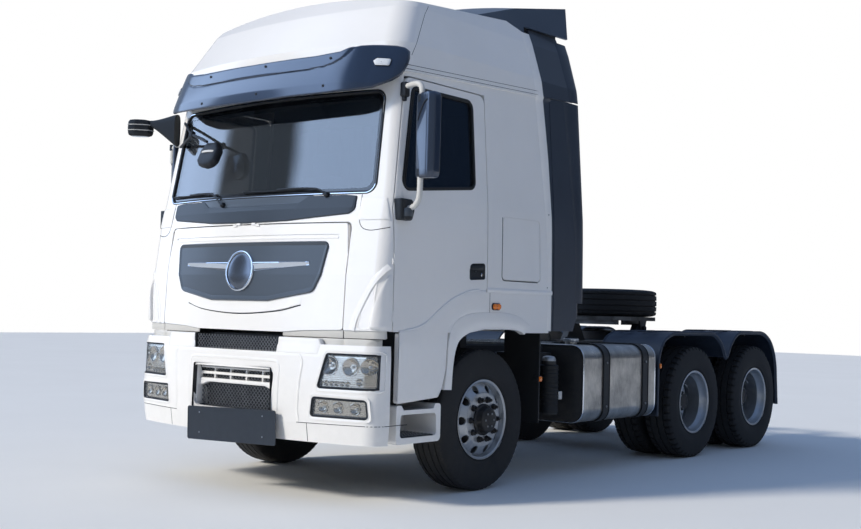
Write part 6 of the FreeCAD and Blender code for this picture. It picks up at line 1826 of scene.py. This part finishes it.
def makeSteps():
    # paints: 0 black tread, 1 zinc; chequered treads in the lower steps and on the steps above them
    low, high = [], []
    for side in (-1, 1):
        for group, x0, x1, y0, y1, z in ((low, 956, 1232, -1030, -672, 463),
                                         (high, 900, 1190, -1072, -728, 926)):
            group.append(softBox([side * x0, y0, z - 1], [side * x1, y1, z + 7], 3, 2))
            for x in np.arange(x0 + 22, x1 - 12, 34):
                for i, y in enumerate(np.arange(y0 + 22, y1 - 14, 32)):
                    bar = moved(softBox([-11, -3.5, 0], [11, 3.5, 5], 2, 2), (side * x, y, z + 6),
                                turnMatrix("z", 45 if i % 2 else -45))
                    group.append(painted(bar, 1))
    for name, parts, body in (("stepTreads", low, "chassis"), ("upperTreads", high, "cab")):
        piece(name, parts, body, "grainedBlack zincSteel", sharp=40)
    flaps = []
    for side in (-1, 1):
        flaps.append(softBox([side * 1150, 668, 790], [side * 1206, 676, 844], 3, 2))
        flaps += sideLens((side * 1204, 684, 817), (34, 40), 0, 1)
        for z in np.arange(520, 1200, 80):  # stiffening ribs across the flap
            flaps.append(softBox([side * 872, 688, z], [side * 1196, 695, z + 14], 3, 2))
    piece("flapTrim", flaps, "cab", "grainedBlack amberLens", sharp=40)


def makeTailLenses():
    # paints: 0 red, 1 amber, 2 white, 3 black surround
    parts = []
    for side in (-1, 1):
        for index, x0, x1 in ((3, 472, 848), (0, 482, 590), (2, 598, 652), (0, 660, 742), (1, 750, 838)):
            a, b = sorted((side * x0, side * x1))
            low, high, y = (564, 696, 5498) if index == 3 else (574, 686, 5502)
            parts.append(painted(softBox([a, y - 6, low], [b, y + (4 if index == 3 else 12), high],
                                         4 if index == 3 else 8, 4), index))
            if index != 3:  # inner ribs of the lens
                for z in np.arange(592, 680, 18):
                    parts.append(painted(softBox([a + 8, y + 10, z], [b - 8, y + 14, z + 6], 2, 2), index))
        for at in (486, 834):
            parts.append(painted(spun([(0, 6), (3, 5), (4, 0.5)], (side * at, 5513, 568), "y", 10), 3))
    piece("tailLenses", parts, "chassis",
          "redLens amberLens whiteLens grainedBlack", sharp=40)


def makeFasteners(spec):
    # paints: 0 zinc bolts, 1 chassis enamel, 2 plate steel
    parts = []
    head = [(0, 12), (3, 12), (3.5, 9.5), (11, 9.5), (13, 7), (13, 0.5)]
    y0, y1, pitch = spec["railBolts"]
    for side in (-1, 1):
        sign = [(side * a, r) for a, r in head]
        for i, y in enumerate(np.arange(y0, y1, pitch)):
            for z in ((812, 985) if i % 3 else (812, 898, 985)):
                parts.append(spun(sign, (side * spec["rail"], y, z), "x", 6))
        for y in (3975, 2360):  # gusset plates over the spring hangers
            plate = fillet([(y - 170, 780), (y + 170, 780), (y + 120, 1020), (y - 120, 1020)], 24, 4)
            a, b = sorted((side * 430, side * 438))
            parts.append(painted(slab(plate, a, b, "x", 1.5), 1))
            for dy, z in ((-110, 820), (0, 820), (110, 820), (-70, 970), (70, 970)):
                parts.append(spun(sign, (side * 438, y + dy, z), "x", 6))
        # air pipe run along the rail's top flange, held by clips
        line = [(side * 396, y, 1056) for y in np.arange(-600, 5300, 300)]
        parts.append(painted(tube(line, 7, 10, steps=2), 1))
        for y in np.arange(-450, 5200, 600):
            clip = softBox([side * 396 - 14, y - 9, 1049], [side * 396 + 14, y + 9, 1066], 4, 2)
            parts.append(painted(clip, 1))
    low, high = np.array(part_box("deck_plate")) * 1000
    for x in np.arange(low[0] + 26, high[0] - 14, 46):  # raised lozenges of the deck's tread plate
        for i, y in enumerate(np.arange(low[1] - rowShift + 24, high[1] - rowShift - 14, 44)):
            if 150 < (y - 1330) % 260 < 270 and abs(abs(x) - 210) < 142:
                continue
            parts.append(painted(moved(softBox([-13, -3.5, -1], [13, 3.5, 3], 2, 2), (x, y, high[2]),
                                       turnMatrix("z", 45 if i % 2 else -45)), 2))
    piece("chassisFasteners", parts, "chassis",
          "zincSteel chassisEnamel barePlate", sharp=40)


def makeRightBoxes():
    # paints: 0 bright louvres and bands, 1 black, 2 zinc catches; on the battery and silencer boxes
    parts = []
    for y in (930, 1480):
        ring = fillet([(-1240, 446), (-636, 446), (-636, 1064), (-1240, 1064)], 74, 7)
        parts.append(carried(placed(ring, y, "y"), [(-2, -24), (-2, 24), (4, 22), (4, -22)], (0, 1, 0), True))
    for z in np.arange(560, 960, 46):
        parts.append(painted(softBox([-1242, 1010, z], [-1234, 1410, z + 20], 4, 3), 1))
    for z in (640, 780, 920):
        parts.append(painted(softBox([-1226, 1670, z], [-1216, 2090, z + 26], 5, 3), 1))
    for y in (1700, 2040):
        parts.append(painted(softBox([-1232, y, 1000], [-1216, y + 34, 1060], 5, 3), 2))
    for y in (1660, 2170, 2420):
        parts.append(painted(spun([(0, 10), (-6, 10), (-8, 6), (-8, 0.5)], (-1220, y, 600), "x", 6), 2))
    piece("rightBoxTrim", parts, "chassis", "rimSilver grainedBlack zincSteel", sharp=40)


makeMudguard(1, "left", rearShape, "rear_mudguards")
makeMudguard(-1, "right", rearShape)
makeTankTrim(rearShape)
makeSteps()
makeTailLenses()
makeFasteners(rearShape)
makeRightBoxes()
print("chassis dressed")


# studio

studio = {"camera": (6.502, -9.202, 1.319), "yaw": 39.32, "pitch": 2.32, "roll": 1.49, "lens": 49.68,
          "floor": 40.0, "sunFrom": (-0.42, -0.80, 0.52), "sunStrength": 3.0,
          "low": "#8a8f96", "middle": "#828e9f", "zenith": "#6f8ab6", "backdrop": "#ffffff",
          # reflections only: direction, inner and outer angle, colour, power
          "patches": [((-0.66, -0.66, 0.34), 30, 44, "#b4cdf2", 3.5),
                      ((-0.734, -0.576, 0.30), 9, 14, "#5d6570", 1.0),
                      ((-0.60, -0.50, -0.2), 16, 30, "#6d7076", 1.0),
                      ((0.63, 0.77, 0.12), 12, 22, "#2b3c57", 1.0),
                      ((0.63, 0.77, 0.03), 3.2, 4.4, "#5c4c34", 1.0)]}


def placeCamera(spec):
    yaw, pitch, roll = (math.radians(spec[k]) for k in ("yaw", "pitch", "roll"))
    forward = Vector((-math.sin(yaw) * math.cos(pitch), math.cos(yaw) * math.cos(pitch), math.sin(pitch)))
    right = Vector((math.cos(yaw), math.sin(yaw), 0))
    up = right.cross(forward)
    r = math.cos(roll) * right + math.sin(roll) * up
    u = -math.sin(roll) * right + math.cos(roll) * up
    camera = bpy.data.objects.new("camera", bpy.data.cameras.new("camera"))
    bpy.context.scene.collection.objects.link(camera)
    camera.data.sensor_width = 36.0
    camera.data.lens = spec["lens"]
    camera.data.clip_end = 200
    basis = np.eye(4)
    basis[:3, 0], basis[:3, 1], basis[:3, 2], basis[:3, 3] = r, u, -forward, spec["camera"]
    camera.matrix_world = Matrix(basis.tolist())
    bpy.context.scene.camera = camera


def makeStudio(spec):
    # pale floor, a high sun-like lamp with soft edges from ahead, a wide pale panel, and an even sky
    scene = bpy.context.scene
    scene.view_settings.view_transform = "Standard"
    mesh = bpy.data.meshes.new("floor")
    f = spec["floor"]
    mesh.from_pydata([(-f, -f, 0), (f, -f, 0), (f, f, 0), (-f, f, 0)], [], [(0, 1, 2, 3)])
    mesh.materials.append(finish("paleFloor", base="#f7f5ef", second="#f1efe9", patch=2500, spread=0.5,
                                 rough=0.85, grain=8, depth=0.05))
    floor = bpy.data.objects.new("floor", mesh)
    scene.collection.objects.link(floor)
    sun = bpy.data.objects.new("sun", bpy.data.lights.new("sun", "SUN"))
    sun.data.energy = spec["sunStrength"]
    sun.data.angle = math.radians(9)
    sun.data.color = (1.0, 0.955, 0.88)
    sun.visible_glossy = False
    sun.rotation_euler = Vector(spec["sunFrom"]).to_track_quat("Z", "Y").to_euler()
    scene.collection.objects.link(sun)
    panel = bpy.data.objects.new("panel", bpy.data.lights.new("panel", "AREA"))
    panel.data.shape = "RECTANGLE"
    panel.data.size, panel.data.size_y = 12.0, 7.0
    panel.data.energy = 150
    panel.data.color = (0.9, 0.94, 1.0)
    panel.location = (-11.5, -13.5, 8.0)
    panel.rotation_euler = (Vector(panel.location) - Vector((0, -3, 2.4))).to_track_quat("Z", "Y").to_euler()
    panel.visible_camera = panel.visible_glossy = False
    scene.collection.objects.link(panel)
    world = bpy.data.worlds.new("sky")
    scene.world = world
    world.use_nodes = True
    tree = world.node_tree
    tree.nodes.clear()
    way = addNode(tree, "TexCoord").outputs["Generated"]
    height = addNode(tree, "SeparateXYZ", {0: way}).outputs["Z"]
    sky = addNode(tree, "ValToRGB", {"Fac": height},
                  [(0.0, spec["low"]), (0.25, spec["middle"]), (0.75, spec["zenith"])]).outputs[0]
    gloss = sky
    for centre, inner, outer, colour, power in spec["patches"]:  # soft panels and flags for the reflections
        near = addNode(tree, "VectorMath", {0: way, 1: tuple(Vector(centre).normalized())},
                       operation="DOT_PRODUCT").outputs["Value"]
        mask = ranged(tree, near, math.cos(math.radians(outer)), math.cos(math.radians(inner)),
                      interpolation_type="SMOOTHSTEP")
        gloss = blended(tree, mask, gloss, tuple(c * power for c in linear(colour)[:3]) + (1.0,))
    path = addNode(tree, "LightPath")
    shown = addNode(tree, "Background", {"Color": sky, "Strength": 1.0})
    for way, colour in (("Is Glossy Ray", gloss), ("Is Camera Ray", linear(spec["backdrop"]))):
        other = addNode(tree, "Background", {"Color": colour, "Strength": 1.0})
        shown = addNode(tree, "MixShader", {0: path.outputs[way], 1: shown.outputs[0], 2: other.outputs[0]})
    addNode(tree, "OutputWorld", {"Surface": shown.outputs[0]})


placeCamera(studio)
makeStudio(studio)
print("studio ready")
